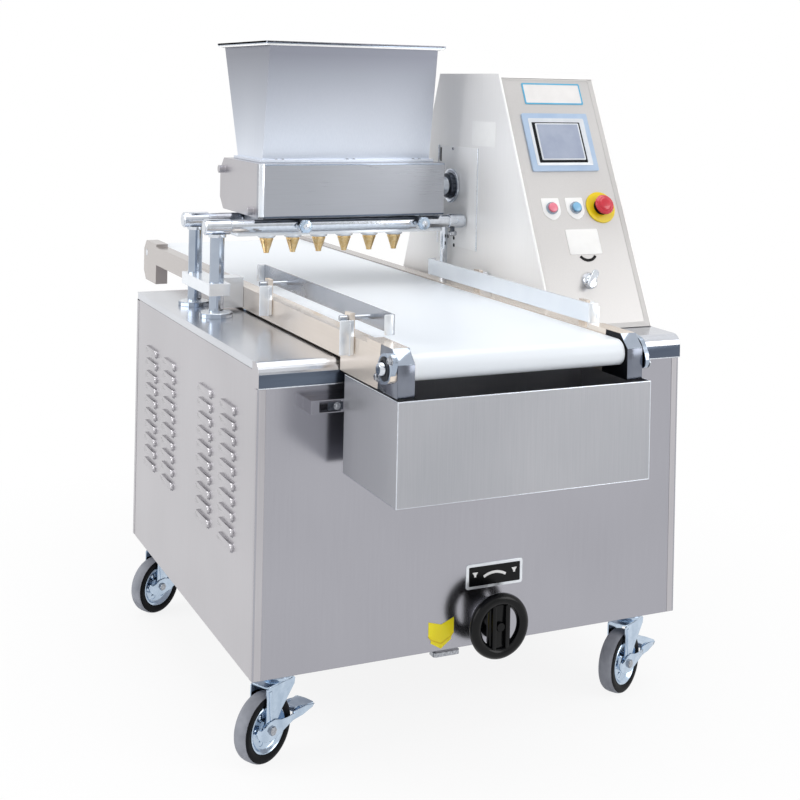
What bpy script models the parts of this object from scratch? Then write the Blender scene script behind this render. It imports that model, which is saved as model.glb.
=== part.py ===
# Cake depositor: steel cabinet on casters, lifting belt conveyor, pump head with hopper and control tower.
# Metres, Z up. X runs along the front from left to right, Y from front to back.
import math

import bmesh
import bpy
from mathutils import Matrix, Vector

# Clearances and overruns
touch_gap = 0.0003
run_gap = 0.0006
embed = 0.002
overrun = 0.01
merge_distance = 0.00003

# Layout from left to right: conveyor, gap, tower; the cabinet is as wide as all three
conveyor_left = 0.155
conveyor_width = 0.488
tower_gap = 0.029
tower_width = 0.243
tower_left = conveyor_left + conveyor_width + tower_gap
cabinet_width = tower_left + tower_width

# Cabinet
cabinet_depth = 0.885
cabinet_underside = 0.165
deck_top = 0.738
sheet = 0.002
pan_height = 0.004
deck_bend_radius = 0.022
deck_lip_height = 0.046
deck_lip_overhang = 0.006
deck_side_flange = 0.016
flange_inset = 0.0005
side_panel_corner = 0.02
side_panel_inset = 0.006

# Cable gland in the rear panel
gland_radius = 0.0125
gland_tip_radius = 0.01
gland_nut_length = 0.01
gland_length = 0.02
gland_inset = 0.11

# Louvres in the side panels
louvre_length = 0.082
louvre_height = 0.012
louvre_proud = 0.0055
louvre_pitch = 0.0285
louvre_slot = 0.003
louvre_bottom = 0.36
louvre_columns = 4
louvre_rows = 10
louvre_first_y = 0.125
louvre_margins = 0.435
louvre_column_pitch = (cabinet_depth - louvre_margins) / (louvre_columns - 1)
louvre_centre_gap = 0.12
louvre_round_steps = 2

# Catch box under the front of the belt
box_side_reach = 0.003
box_left = conveyor_left - box_side_reach
box_extra_width = 0.016
box_width = conveyor_width + box_extra_width
box_reach = 0.272
box_stand_off = 0.04
box_rim_drop = 0.023
box_rim = deck_top - box_rim_drop
box_height = 0.178
box_floor = box_rim - box_height

# Handwheel and lifting gear
handwheel_inset = 0.32
handwheel_x = conveyor_left + handwheel_inset
handwheel_z = 0.217
handwheel_radius = 0.0625
handwheel_rim_radius = 0.0115
handwheel_hub_radius = 0.017
handwheel_web = 0.012
handwheel_stand_off = 0.052
handwheel_boss_radius = 0.031
handwheel_boss_length = 0.03
handwheel_shaft_radius = 0.007
handwheel_opening_angle = math.radians(62)
handwheel_rim_angle = math.radians(135)
handwheel_shaft_entry = 0.008
lift_y = 0.58
lift_screw_radius = 0.012
lift_rod_radius = 0.008
lift_bar_height = 0.03
lift_bar_depth = 0.036
lift_bar_z = 0.6
gear_case_size = 0.07
lever_x = 0.372
lever_y = 0.022
lever_length = 0.05
lever_thickness = 0.006
lever_pin_radius = 0.006

# Rail on the front that holds the catch box off the cabinet
bracket_x = 0.088
bracket_length = 0.06
bracket_height = 0.024
bracket_mouth_inset = 0.016
bracket_end_inset = 0.1
bracket_z = 0.648

# Conveyor
channel_width = 0.032
channel_wall = 0.003
channel_above_deck = 0.004
channel_foot = deck_top + channel_above_deck
channel_height = 0.048
end_plate_extra = 0.008
end_plate_length = 0.13
end_chamfer = 0.024
conveyor_front = -0.262
conveyor_rear = 1.44
front_end_drop = 0.024
front_plate_back = 0.01
rear_end_drop = 0.052
belt_above_deck = 0.05
belt_top = deck_top + belt_above_deck
belt_sheet = 0.002
belt_loop_radius = 0.0235
belt_gap = 0.002
belt_round_steps = 10
belt_roller_inset = 0.028
belt_shaft_radius = 0.0095
shaft_stub = 0.012
bed_height = 0.016
bearing_radius = 0.021
bearing_ear_reach = 0.029
bearing_height = 0.012
bearing_tilt = math.radians(35)
bearing_ear_sharpness = 6

# Tray guides
guide_inset = 0.012
guide_spacing = conveyor_width - 2 * channel_width - 2 * guide_inset
guide_height = 0.036
guide_thickness = 0.003
guide_above_belt = 0.016
guide_front = -0.15
guide_rear = 0.54
guide_rod_radius = 0.005
guide_rod_stub = 0.016
guide_bracket_width = 0.026
guide_bracket_thickness = 0.008
guide_bracket_height = 0.06
guide_bracket_front = -0.06
guide_bracket_rear = 0.38

# Columns and head frame
column_x = 0.075
column_front_y = 0.5
column_rear_y = 0.665
column_radius = 0.0155
column_flange_radius = 0.036
column_flange_height = 0.009
rail_radius = 0.014
rail_above_deck = 0.192
rail_z = deck_top + rail_above_deck
rail_left = 0.044
rail_end_gap = 0.004
rail_right = tower_left - rail_end_gap
rail_block_width = 0.05
rail_block_height = 0.04
rail_block_margin = 0.024
right_block_inset = 0.026
right_block_x = tower_left - right_block_inset - touch_gap
right_block_width = 0.04
clear_gap = 0.0012
post_radius = 0.009
slide_block_above_deck = 0.047
slide_block_z = deck_top + slide_block_above_deck
slide_block_height = 0.026
slide_block_width = 0.046
slide_arm_width = 0.05

# Pump head
head_inset = 0.003
head_left = conveyor_left + head_inset
head_end_gap = 0.067
head_right = tower_left - head_end_gap
head_front = 0.49
head_rear = 0.755
head_above_rail = 0.018
head_floor = rail_z + head_above_rail
head_height = 0.118
head_top = head_floor + head_height
head_corner = 0.026
end_cap_thickness = 0.016
front_cover_thickness = 0.012
feed_front_y = 0.565
feed_spacing = 0.092
feed_radius = 0.042
feed_bore_gap = 0.002
feed_lobes = 10
feed_lobe_depth = 0.006
feed_shaft_radius = 0.01
throat_depth = 0.09
outlet_slot = 0.016
coupling_radius = 0.019
coupling_claw = 0.012
cap_knob_radius = 0.009
cap_knob_reach = 0.014
cap_knob_inset = 0.031
shaft_socket_depth = 0.004

# Hopper
hopper_left_inset = 0.025
hopper_right_inset = 0.015
hopper_left = head_left + hopper_left_inset
hopper_width = head_right - hopper_right_inset - hopper_left
hopper_rim_front = 0.492
hopper_rim_rear = 0.822
hopper_foot_front = 0.53
hopper_foot_rear = 0.7
hopper_height = 0.267
hopper_rim_z = head_top + hopper_height
hopper_sheet = 0.0025
hopper_rim_flange = 0.013
hopper_rim_height = 0.004
hopper_foot_flange = 0.008
hopper_foot_height = 0.006

# Nozzles
nozzle_count = 6
nozzle_left_inset = 0.054
nozzle_right_inset = 0.0805
nozzle_first_x = head_left + nozzle_left_inset
nozzle_pitch = (head_right - nozzle_right_inset - nozzle_first_x) / (nozzle_count - 1)
nozzle_y = 0.575
nozzle_plate_left_reach = 0.053
nozzle_plate_left = column_x + nozzle_plate_left_reach
nozzle_plate_right_reach = 0.02
nozzle_plate_right = head_right + nozzle_plate_right_reach
nozzle_plate_drop = 0.024
nozzle_plate_z = rail_z - nozzle_plate_drop
nozzle_plate_height = 0.008
manifold_depth = 0.09
manifold_margin = 0.03
collar_radius = 0.0205
collar_height = 0.011
nozzle_top_radius = 0.0155
nozzle_tip_radius = 0.0058
nozzle_bore_radius = 0.0035
nozzle_length = 0.034
clamp_knob_radius = 0.016
clamp_knob_length = 0.018
clamp_knob_left_inset = 0.05
clamp_knob_right_inset = 0.057
clamp_knob_x = (nozzle_first_x + clamp_knob_left_inset, head_right - clamp_knob_right_inset)
clamp_knob_lobes = 6
clamp_stem_radius = 0.005
knob_scallop_share = 0.14

# Tower and control panel
tower_front_foot = 0.095
tower_front_top = 0.352
tower_rear_top = 0.645
tower_rear_inset = 0.035
tower_rear_foot = cabinet_depth - tower_rear_inset
tower_height = 0.534
tower_top = deck_top + tower_height
tower_sheet = 0.0025
panel_rim = 0.006
screen_width = 0.168
screen_height = 0.138
screen_proud = 0.007
screen_left = 0.024
screen_foot = 0.362
screen_glass_inset_share = 0.17
screen_recess = 0.002
button_radius = 0.013
button_length = 0.012
button_travel = 0.005
button_height = 0.277
button_start_x = 0.05
button_stop_x = 0.11
estop_x = 0.174
estop_ring_radius = 0.036
estop_ring_height = 0.003
estop_radius = 0.02
estop_height = 0.022
estop_neck_radius = 0.015
estop_shoulder_radius = 0.019
estop_crown_radius = 0.014
estop_shoulder_share = 0.8
selector_x = 0.112
selector_height = 0.117
selector_radius = 0.014
selector_length = 0.02
selector_bar_reach = 0.018
cover_front = 0.44
cover_rear = 0.64
cover_below_shaft = 0.142
cover_above_shaft = 0.093
cover_slot_width = 0.014
cover_slot_length = 0.036
panel_margin = 0.005
tower_reach = 0.04
gearmotor_radius = 0.055
gearmotor_length = 0.13
gearmotor_socket = 0.043

# Casters
bridge_share = 0.94
caster_inset_x = 0.07
caster_front_y = 0.058
caster_rear_inset = 0.057
caster_heading = math.radians(28)
caster_rear_y = cabinet_depth - caster_rear_inset
wheel_radius = 0.0625
wheel_width = 0.032
wheel_trail = 0.038
wheel_rim_radius = 0.045
wheel_rim_recess = 0.006
wheel_hub_radius = 0.015
axle_radius = 0.005
fork_gap = 0.0025
fork_sheet = 0.003
fork_half_width = 0.019
fork_foot_half_width = 0.0133
fork_foot_drop = 0.0114
caster_plate_length = 0.1
caster_plate_width = 0.082
caster_plate_height = 0.004
caster_plate_corner = 0.008
race_radius = 0.026
race_height = 0.018
pedal_length = 0.05
pedal_width = 0.034
pedal_thickness = 0.004
pedal_pin_radius = 0.006
pedal_x = 0.033
pedal_z = 0.074

# Round pieces
fine_sides = 20
coarse_sides = 14
small_sides = 12
soft_bevel = 0.0015
sharp_angle = math.radians(35)

for old in list(bpy.data.objects):
    bpy.data.objects.remove(old)

frame_origin = bpy.data.objects.new("depositor_origin", None)
bpy.context.collection.objects.link(frame_origin)
finishes = {}


def finish(name, colour, roughness, metallic):
    material = bpy.data.materials.new(name)
    material.use_nodes = True
    shader = material.node_tree.nodes["Principled BSDF"]
    shader.inputs["Base Color"].default_value = (*colour, 1)
    shader.inputs["Roughness"].default_value = roughness
    shader.inputs["Metallic"].default_value = metallic
    finishes[name] = material


finish("brushed_steel", (0.62, 0.6, 0.57), 0.35, 1)
finish("polished_steel", (0.75, 0.75, 0.75), 0.15, 1)
finish("zinc", (0.6, 0.62, 0.65), 0.3, 1)
finish("brass", (0.72, 0.5, 0.22), 0.3, 1)
finish("tyre_rubber", (0.05, 0.05, 0.055), 0.7, 0)
finish("black_plastic", (0.02, 0.02, 0.022), 0.35, 0)
finish("belt_white", (0.86, 0.88, 0.9), 0.5, 0)
finish("white_plastic", (0.85, 0.85, 0.85), 0.4, 0)
finish("screen_blue", (0.35, 0.5, 0.6), 0.2, 0)
finish("red_plastic", (0.7, 0.03, 0.03), 0.3, 0)
finish("blue_plastic", (0.05, 0.25, 0.6), 0.3, 0)
finish("yellow_plastic", (0.85, 0.65, 0.02), 0.4, 0)
finish("painted_grey", (0.25, 0.3, 0.33), 0.5, 0)


# Shapes: each function returns a bmesh in the model's own coordinates
def box(low, high):
    shape = bmesh.new()
    bmesh.ops.create_cube(shape, size=1)
    size = [high[i] - low[i] for i in range(3)]
    middle = [(high[i] + low[i]) / 2 for i in range(3)]
    bmesh.ops.scale(shape, vec=size, verts=shape.verts)
    bmesh.ops.translate(shape, vec=middle, verts=shape.verts)
    return shape


def prism(outline, axis, start, end):
    """Extrude a closed outline of two coordinates along the third axis."""
    place = {
        "x": lambda p, along: (along, p[0], p[1]),
        "y": lambda p, along: (p[0], along, p[1]),
        "z": lambda p, along: (p[0], p[1], along),
    }[axis]
    shape = bmesh.new()
    face = shape.faces.new([shape.verts.new(place(p, start)) for p in outline])
    grown = bmesh.ops.extrude_face_region(shape, geom=[face])
    moved = [item for item in grown["geom"] if isinstance(item, bmesh.types.BMVert)]
    step = Vector(place((0, 0), end)) - Vector(place((0, 0), start))
    bmesh.ops.translate(shape, vec=step, verts=moved)
    bmesh.ops.recalc_face_normals(shape, faces=shape.faces)
    return shape


def turned(profile, centre, axis, sides=fine_sides):
    """Turn a profile of (radius, distance along the axis) about an axis through centre."""
    shape = bmesh.new()
    rings = []
    for radius, along in profile:
        if radius == 0:
            rings.append([shape.verts.new((0, 0, along))])
            continue
        angles = [2 * math.pi * i / sides for i in range(sides)]
        rings.append([shape.verts.new((radius * math.cos(a), radius * math.sin(a), along)) for a in angles])
    for lower, upper in zip(rings, rings[1:]):
        for i in range(sides):
            j = (i + 1) % sides
            corners = [lower[i % len(lower)], lower[j % len(lower)], upper[j % len(upper)],
                       upper[i % len(upper)]]
            unique = list(dict.fromkeys(corners))
            shape.faces.new(unique)
    if len(rings[0]) > 1 and profile[0] != profile[-1]:
        shape.faces.new(rings[0])
    if len(rings[-1]) > 1 and profile[0] != profile[-1]:
        shape.faces.new(rings[-1])
    bmesh.ops.remove_doubles(shape, verts=shape.verts, dist=merge_distance)
    bmesh.ops.recalc_face_normals(shape, faces=shape.faces)
    turn = {"x": Matrix.Rotation(math.pi / 2, 4, "Y"), "y": Matrix.Rotation(-math.pi / 2, 4, "X"),
            "z": Matrix()}
    bmesh.ops.transform(shape, matrix=Matrix.Translation(centre) @ turn[axis], verts=shape.verts)
    return shape


def rod(radius, start, end, centre, axis, sides=coarse_sides):
    """A round bar from start to end along an axis; centre gives its other two coordinates."""
    base = list(centre)
    base["xyz".index(axis)] = 0
    return turned([(radius, start), (radius, end)], base, axis, sides)


def to_mesh_object(name, shape):
    mesh = bpy.data.meshes.new(name)
    shape.to_mesh(mesh)
    shape.free()
    item = bpy.data.objects.new(name, mesh)
    bpy.context.collection.objects.link(item)
    return item


def piece(name, material, base, adds=(), cuts=(), origin=(0, 0, 0), smooth=True):
    """One sub-part: a base shape with shapes joined to it and cut from it, its origin on its joint."""
    item = to_mesh_object(name, base)
    item.data.materials.append(finishes[material])
    tools = [(shape, "UNION") for shape in adds] + [(shape, "DIFFERENCE") for shape in cuts]
    for number, (shape, operation) in enumerate(tools):
        tool = to_mesh_object(f"{name}_tool_{number}", shape)
        tool.hide_render = True
        tool.display_type = "WIRE"
        tool.data.transform(Matrix.Translation(-Vector(origin)))
        tool.parent = item
        boolean = item.modifiers.new(f"{operation.lower()}_{number}", "BOOLEAN")
        boolean.operation = operation
        boolean.solver = "EXACT"
        boolean.object = tool
    item.data.transform(Matrix.Translation(-Vector(origin)))
    item.location = origin
    item.parent = frame_origin
    if smooth:
        item.data.shade_smooth()
        item.data.set_sharp_from_angle(angle=sharp_angle)
    return item


def arc_points(centre, radius, start, end, steps):
    angles = [start + (end - start) * i / steps for i in range(steps + 1)]
    return [(centre[0] + radius * math.cos(a), centre[1] + radius * math.sin(a)) for a in angles]


def rounded_outline(low, high, radius, steps=5):
    outline = []
    corners = ((high[0], high[1], 0), (low[0], high[1], 1), (low[0], low[1], 2), (high[0], low[1], 3))
    for x, z, quarter in corners:
        centre = (x - radius if x == high[0] else x + radius, z - radius if z == high[1] else z + radius)
        outline += arc_points(centre, radius, quarter * math.pi / 2, (quarter + 1) * math.pi / 2, steps)
    return outline


# Cabinet sheets
panel_foot = cabinet_underside + touch_gap
panel_head = deck_top - deck_side_flange - touch_gap
gear_case_x = handwheel_x
gear_case_front = lift_y - gear_case_size / 2


def make_base_pan():
    low = (sheet + touch_gap, sheet + touch_gap, cabinet_underside)
    high = (cabinet_width - sheet - touch_gap, cabinet_depth - sheet - touch_gap,
            cabinet_underside + pan_height)
    case_low = (gear_case_x - gear_case_size / 2, gear_case_front, cabinet_underside + pan_height / 2)
    case_top = handwheel_z + gear_case_size / 2
    case_high = (gear_case_x + gear_case_size / 2, gear_case_front + gear_case_size, case_top)
    adds = [box(case_low, case_high)]
    for x, y in caster_places().values():
        outline = rounded_outline((x - caster_plate_length / 2, y - caster_plate_width / 2),
                                  (x + caster_plate_length / 2,
                                   y + caster_plate_width / 2), caster_plate_corner, 3)
        adds.append(prism(outline, "z", cabinet_underside - caster_plate_height,
                          cabinet_underside + pan_height / 2))
    screw_bore = rod(lift_screw_radius + run_gap, handwheel_z, case_top + overrun, (gear_case_x, lift_y, 0),
                     "z")
    shaft_bore = rod(handwheel_shaft_radius + run_gap, gear_case_front - overrun, gear_case_front + overrun,
                     (gear_case_x, 0, handwheel_z), "y")
    piece("base_pan", "brushed_steel", box(low, high), adds=adds, cuts=[screw_bore, shaft_bore],
          smooth=False)


def caster_places():
    right = cabinet_width - caster_inset_x
    return {"front_left": (caster_inset_x, caster_front_y), "front_right": (right, caster_front_y),
            "rear_left": (caster_inset_x, caster_rear_y), "rear_right": (right, caster_rear_y)}


def make_front_panel():
    plate = box((0, 0, panel_foot), (cabinet_width, sheet, deck_top - deck_lip_height - touch_gap))
    boss_end = -handwheel_boss_length
    boss = rod(handwheel_boss_radius, boss_end, embed / 2, (handwheel_x, 0, handwheel_z), "y", fine_sides)
    bore = rod(handwheel_shaft_radius + run_gap, boss_end - overrun, overrun, (handwheel_x, 0, handwheel_z),
               "y")
    rail = box((bracket_x, -box_stand_off + touch_gap, bracket_z),
               (box_left + box_width - bracket_end_inset, embed / 2, bracket_z + bracket_height))
    mouth = box((bracket_x + bracket_mouth_inset, -box_stand_off - overrun, bracket_z + sheet),
                (bracket_x + bracket_length - sheet, -sheet, bracket_z + bracket_height - sheet))
    piece("front_panel", "brushed_steel", plate, adds=[boss, rail], cuts=[bore, mouth])


def louvre_places():
    """Lower edge and near edge of each louvre, four columns with a wide gap in the middle."""
    places = []
    for column in range(louvre_columns):
        near = louvre_first_y + column * louvre_column_pitch
        if column >= louvre_columns / 2:
            near += louvre_centre_gap
        for row in range(louvre_rows):
            places.append((near, louvre_bottom + row * louvre_pitch))
    return places


def make_side_panel(name, outer_x, outward):
    """A side sheet with pressed louvres; outward is -1 for the left and 1 for the right side."""
    inner_x = outer_x - outward * sheet
    low = (side_panel_inset, panel_foot)
    high = (cabinet_depth - side_panel_inset, panel_head)
    outline = rounded_outline(low, high, side_panel_corner)
    plate = prism(outline, "x", min(outer_x, inner_x), max(outer_x, inner_x))
    hoods = bmesh.new()
    slots = bmesh.new()
    for near, foot in louvre_places():
        profile = [(outer_x - outward * embed / 2, foot + louvre_height)]
        for i in range(louvre_round_steps + 1):
            angle = math.pi / 2 * i / louvre_round_steps
            along = math.cos(angle)
            profile.append((outer_x + outward * louvre_proud * math.sin(angle),
                            foot + louvre_height * along))
        profile.append((outer_x - outward * embed / 2, foot))
        hood = prism(profile, "y", near, near + louvre_length)
        add_shape(hoods, hood)
        slot_low = (min(outer_x,
                        outer_x + outward * (louvre_proud - sheet)) - (overrun if outward > 0 else 0),
                    near + sheet, foot - louvre_slot)
        slot_high = (max(outer_x,
                         outer_x + outward * (louvre_proud - sheet)) + (overrun if outward < 0 else 0),
                     near + louvre_length - sheet, foot + louvre_slot)
        add_shape(slots, box(slot_low, slot_high))
    piece(name, "brushed_steel", plate, adds=[hoods], cuts=[slots], smooth=False)


def add_shape(target, source):
    """Copy one bmesh's faces into another."""
    copies = {vert: target.verts.new(vert.co) for vert in source.verts}
    for face in source.faces:
        target.faces.new([copies[vert] for vert in face.verts])
    source.free()


def make_rear_panel():
    plate = box((0, cabinet_depth - sheet, panel_foot), (cabinet_width, cabinet_depth, panel_head))
    profile = [(gland_radius, -embed), (gland_radius, gland_nut_length), (gland_tip_radius, gland_length),
               (gland_tip_radius, gland_length + sheet)]
    centre = (cabinet_width - gland_inset, cabinet_depth, cabinet_underside + gland_inset)
    gland = turned(profile, centre, "y", coarse_sides)
    piece("rear_panel", "brushed_steel", plate, adds=[gland])


def make_top_deck():
    front = -deck_lip_overhang
    bend_centre = (front + deck_bend_radius, deck_top - deck_bend_radius)
    outline = [(cabinet_depth, deck_top)]
    outline += arc_points(bend_centre, deck_bend_radius, math.pi / 2, math.pi, 6)
    outline += [(front, deck_top - deck_lip_height), (front + sheet, deck_top - deck_lip_height)]
    inner = arc_points(bend_centre, deck_bend_radius - sheet, math.pi / 2, math.pi, 6)
    outline += list(reversed(inner))
    outline.append((cabinet_depth, deck_top - sheet))
    skin = prism(outline, "x", 0, cabinet_width)
    bend_back = front + deck_bend_radius
    flanges = []
    for near_x in (flange_inset, cabinet_width - sheet - flange_inset):
        flanges.append(box((near_x, bend_back, deck_top - deck_side_flange),
                           (near_x + sheet, cabinet_depth - sheet, deck_top - sheet / 2)))
    flanges.append(box((sheet, cabinet_depth - sheet - flange_inset, deck_top - deck_side_flange),
                       (cabinet_width - sheet, cabinet_depth - flange_inset, deck_top - sheet / 2)))
    bores = []
    for x in lift_rod_places():
        bores.append(rod(lift_rod_radius + sheet, deck_top - overrun, deck_top + overrun, (x, lift_y, 0),
                         "z"))
    piece("top_deck", "brushed_steel", skin, adds=flanges, cuts=bores, smooth=True)


def make_catch_box():
    low = (box_left, -box_reach, box_floor)
    high = (box_left + box_width, -box_stand_off, box_rim)
    inner_low = tuple(value + sheet for value in low)
    inner_high = (high[0] - sheet, high[1] - sheet, high[2] + overrun)
    piece("catch_box", "brushed_steel", box(low, high), cuts=[box(inner_low, inner_high)], smooth=False)


# Lifting gear
def lift_rod_places():
    return (conveyor_left + channel_width / 2, conveyor_left + conveyor_width - channel_width / 2)


def crescent(centre, axis_start, axis_end, inner, outer, middle_angle, half_angle, steps=8):
    outline = arc_points(centre, outer, middle_angle - half_angle, middle_angle + half_angle, steps)
    outline += arc_points(centre, inner, middle_angle + half_angle, middle_angle - half_angle, steps)
    return prism(outline, "y", axis_start, axis_end)


def make_handwheel():
    centre = (handwheel_x, 0, handwheel_z)
    rim_mid = handwheel_radius - handwheel_rim_radius
    face_y = -handwheel_stand_off
    wheel_profile = [(0, face_y - handwheel_rim_radius),
                     (handwheel_hub_radius, face_y - handwheel_rim_radius),
                     (handwheel_hub_radius, face_y - handwheel_web / 2), (rim_mid,
                                                                          face_y - handwheel_web / 2)]
    for x, y in arc_points((0, 0), handwheel_rim_radius, -handwheel_rim_angle, handwheel_rim_angle, 7):
        wheel_profile.append((rim_mid + x, face_y + y))
    back = -handwheel_boss_length - touch_gap
    wheel_profile += [(rim_mid, face_y + handwheel_web / 2),
                      (handwheel_hub_radius, face_y + handwheel_web / 2),
                      (handwheel_hub_radius, back), (0, back)]
    wheel = turned(wheel_profile, centre, "y", fine_sides)
    shaft = rod(handwheel_shaft_radius, back - embed, gear_case_front + handwheel_shaft_entry,
                (handwheel_x, 0, handwheel_z), "y")
    opening_inner = handwheel_hub_radius + handwheel_web / 2
    opening_outer = rim_mid - handwheel_web / 2
    cuts = []
    for middle in (0, math.pi):
        cuts.append(crescent((handwheel_x, handwheel_z), face_y - handwheel_web, face_y + handwheel_web,
                             opening_inner, opening_outer, middle, handwheel_opening_angle))
    piece("handwheel", "black_plastic", wheel, adds=[shaft], cuts=cuts, origin=(handwheel_x, 0, handwheel_z))


def make_lift():
    screw_foot = handwheel_z + touch_gap
    screw_head = lift_bar_z + lift_bar_height + overrun
    piece("lift_screw", "zinc", rod(lift_screw_radius, screw_foot, screw_head, (handwheel_x, lift_y, 0),
                                    "z"),
          origin=(handwheel_x, lift_y, 0))
    left_x, right_x = lift_rod_places()
    lift_rod_top = channel_foot + channel_height - channel_wall - touch_gap
    bar = box((left_x - lift_bar_depth / 2, lift_y - lift_bar_depth / 2, lift_bar_z),
              (right_x + lift_bar_depth / 2, lift_y + lift_bar_depth / 2, lift_bar_z + lift_bar_height))
    rods = []
    for x in (left_x, right_x):
        rods.append(rod(lift_rod_radius, lift_bar_z + embed, lift_rod_top, (x, lift_y, 0), "z"))
    nut = rod(lift_screw_radius + run_gap, lift_bar_z - overrun, lift_bar_z + lift_bar_height + overrun,
              (handwheel_x, lift_y, 0), "z")
    piece("lift_yoke", "zinc", bar, adds=rods, cuts=[nut])
    pin_top = cabinet_underside - touch_gap
    pin = rod(lever_pin_radius, pin_top - lever_thickness * 2, pin_top, (lever_x, lever_y, 0), "z")
    arm = prism(rounded_outline((lever_x - lever_pin_radius, lever_y - lever_pin_radius * 3),
                                (lever_x + lever_length, lever_y + lever_pin_radius), lever_pin_radius),
                "z", pin_top - lever_thickness * 2 - embed, pin_top - lever_thickness)
    piece("lock_lever", "polished_steel", pin, adds=[arm], origin=(lever_x, lever_y, pin_top))


# Conveyor
belt_centre_z = belt_top - belt_loop_radius
roller_front_y = conveyor_front + belt_roller_inset
roller_rear_y = conveyor_rear - belt_roller_inset
conveyor_right = conveyor_left + conveyor_width
belt_left = conveyor_left + channel_width + belt_gap
belt_right = conveyor_right - channel_width - belt_gap


def channel_outline():
    """Side view of a conveyor side channel with a taller chamfered plate at each end."""
    foot = channel_foot
    top = channel_foot + channel_height
    end_top = top + end_plate_extra
    front = conveyor_front
    rear = conveyor_rear
    rear_start = rear - end_plate_length
    return [
        (front, foot - front_end_drop), (-front_plate_back, foot - front_end_drop), (-front_plate_back,
                                                                                     foot),
        (rear_start, foot), (rear_start, foot - rear_end_drop), (rear - end_chamfer, foot - rear_end_drop),
        (rear, foot - rear_end_drop + end_chamfer), (rear, end_top - end_chamfer), (rear - end_chamfer,
                                                                                    end_top),
        (rear_start, end_top), (rear_start, top), (front + end_plate_length,
                                                   top), (front + end_plate_length, end_top),
        (front + end_chamfer, end_top), (front, end_top - end_chamfer),
    ]


def guide_rod_z():
    return belt_top + guide_above_belt + guide_height / 2


def bracket_places():
    return (guide_bracket_front, guide_bracket_rear)


def make_channel(name, low_x, outward):
    high_x = low_x + channel_width
    body = prism(channel_outline(), "x", low_x, high_x)
    void = box((low_x + channel_wall, channel_wall, channel_foot - overrun),
               (high_x - channel_wall, conveyor_rear - end_plate_length - channel_wall,
                channel_foot + channel_height - channel_wall))
    outer_x = low_x if outward < 0 else high_x
    top = channel_foot + channel_height
    adds = []
    cuts = [void]
    for y in bracket_places():
        post_low = min(outer_x,
                       outer_x + outward * guide_bracket_thickness) - (embed / 2 if outward > 0 else 0)
        post_high = max(outer_x,
                        outer_x + outward * guide_bracket_thickness) + (embed / 2 if outward < 0 else 0)
        adds.append(box((post_low, y - guide_bracket_width / 2, top - guide_bracket_height / 2),
                        (post_high, y + guide_bracket_width / 2, guide_rod_z() + guide_rod_radius * 2)))
        cuts.append(rod(guide_rod_radius + run_gap, post_low - overrun, post_high + overrun,
                        (0, y, guide_rod_z()), "x"))
    if outward < 0:
        adds.append(bearing_flange(outer_x, outward))
    for y in (roller_front_y, roller_rear_y):
        cuts.append(rod(belt_shaft_radius + run_gap, low_x - bearing_height - overrun, high_x + overrun,
                        (0, y, belt_centre_z), "x"))
    piece(name, "polished_steel", body, adds=adds, cuts=cuts)


def bearing_flange(outer_x, outward):
    """Oval two-bolt flange on the front end of the left channel."""
    outline = []
    for i in range(fine_sides):
        angle = 2 * math.pi * i / fine_sides
        ear = abs(math.cos(angle - bearing_tilt)) ** bearing_ear_sharpness
        reach = bearing_radius + (bearing_ear_reach - bearing_radius) * ear
        outline.append((roller_front_y + reach * math.cos(angle), belt_centre_z + reach * math.sin(angle)))
    return prism(outline, "x", outer_x - bearing_height, outer_x + embed / 2)


def make_conveyor():
    make_channel("channel_left", conveyor_left, -1)
    make_channel("channel_right", conveyor_right - channel_width, 1)
    outer = arc_points((roller_front_y, belt_centre_z), belt_loop_radius, math.pi * 1.5, math.pi / 2,
                       belt_round_steps)
    outer += arc_points((roller_rear_y, belt_centre_z), belt_loop_radius, math.pi / 2, -math.pi / 2,
                        belt_round_steps)
    inner_radius = belt_loop_radius - belt_sheet
    inner = arc_points((roller_front_y, belt_centre_z), inner_radius, math.pi * 1.5, math.pi / 2,
                       belt_round_steps)
    inner += arc_points((roller_rear_y, belt_centre_z), inner_radius, math.pi / 2, -math.pi / 2,
                        belt_round_steps)
    loop = prism(outer, "x", belt_left, belt_right)
    hole = prism(inner, "x", belt_left - overrun, belt_right + overrun)
    piece("conveyor_belt", "belt_white", loop, cuts=[hole])
    bed_top = belt_top - belt_sheet - touch_gap
    bed_start = roller_front_y + inner_radius + belt_gap
    bed_end = roller_rear_y - inner_radius - belt_gap
    bed_left = conveyor_left + channel_width + touch_gap
    bed_right = conveyor_right - channel_width - touch_gap
    piece("slider_bed", "brushed_steel", box((bed_left, bed_start, bed_top - bed_height), (bed_right,
                                                                                           bed_end, bed_top)),
          smooth=False)
    for name, y in (("belt_roller_front", roller_front_y), ("belt_roller_rear", roller_rear_y)):
        start = conveyor_left - bearing_height - shaft_stub if name == "belt_roller_front" else conveyor_left
        drum = inner_radius - touch_gap
        profile = [(belt_shaft_radius, start), (belt_shaft_radius, belt_left), (drum, belt_left),
                   (drum, belt_right), (belt_shaft_radius, belt_right), (belt_shaft_radius, conveyor_right)]
        piece(name, "polished_steel", turned(profile, (0, y, belt_centre_z), "x", coarse_sides),
              origin=(0, y, belt_centre_z))


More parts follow.
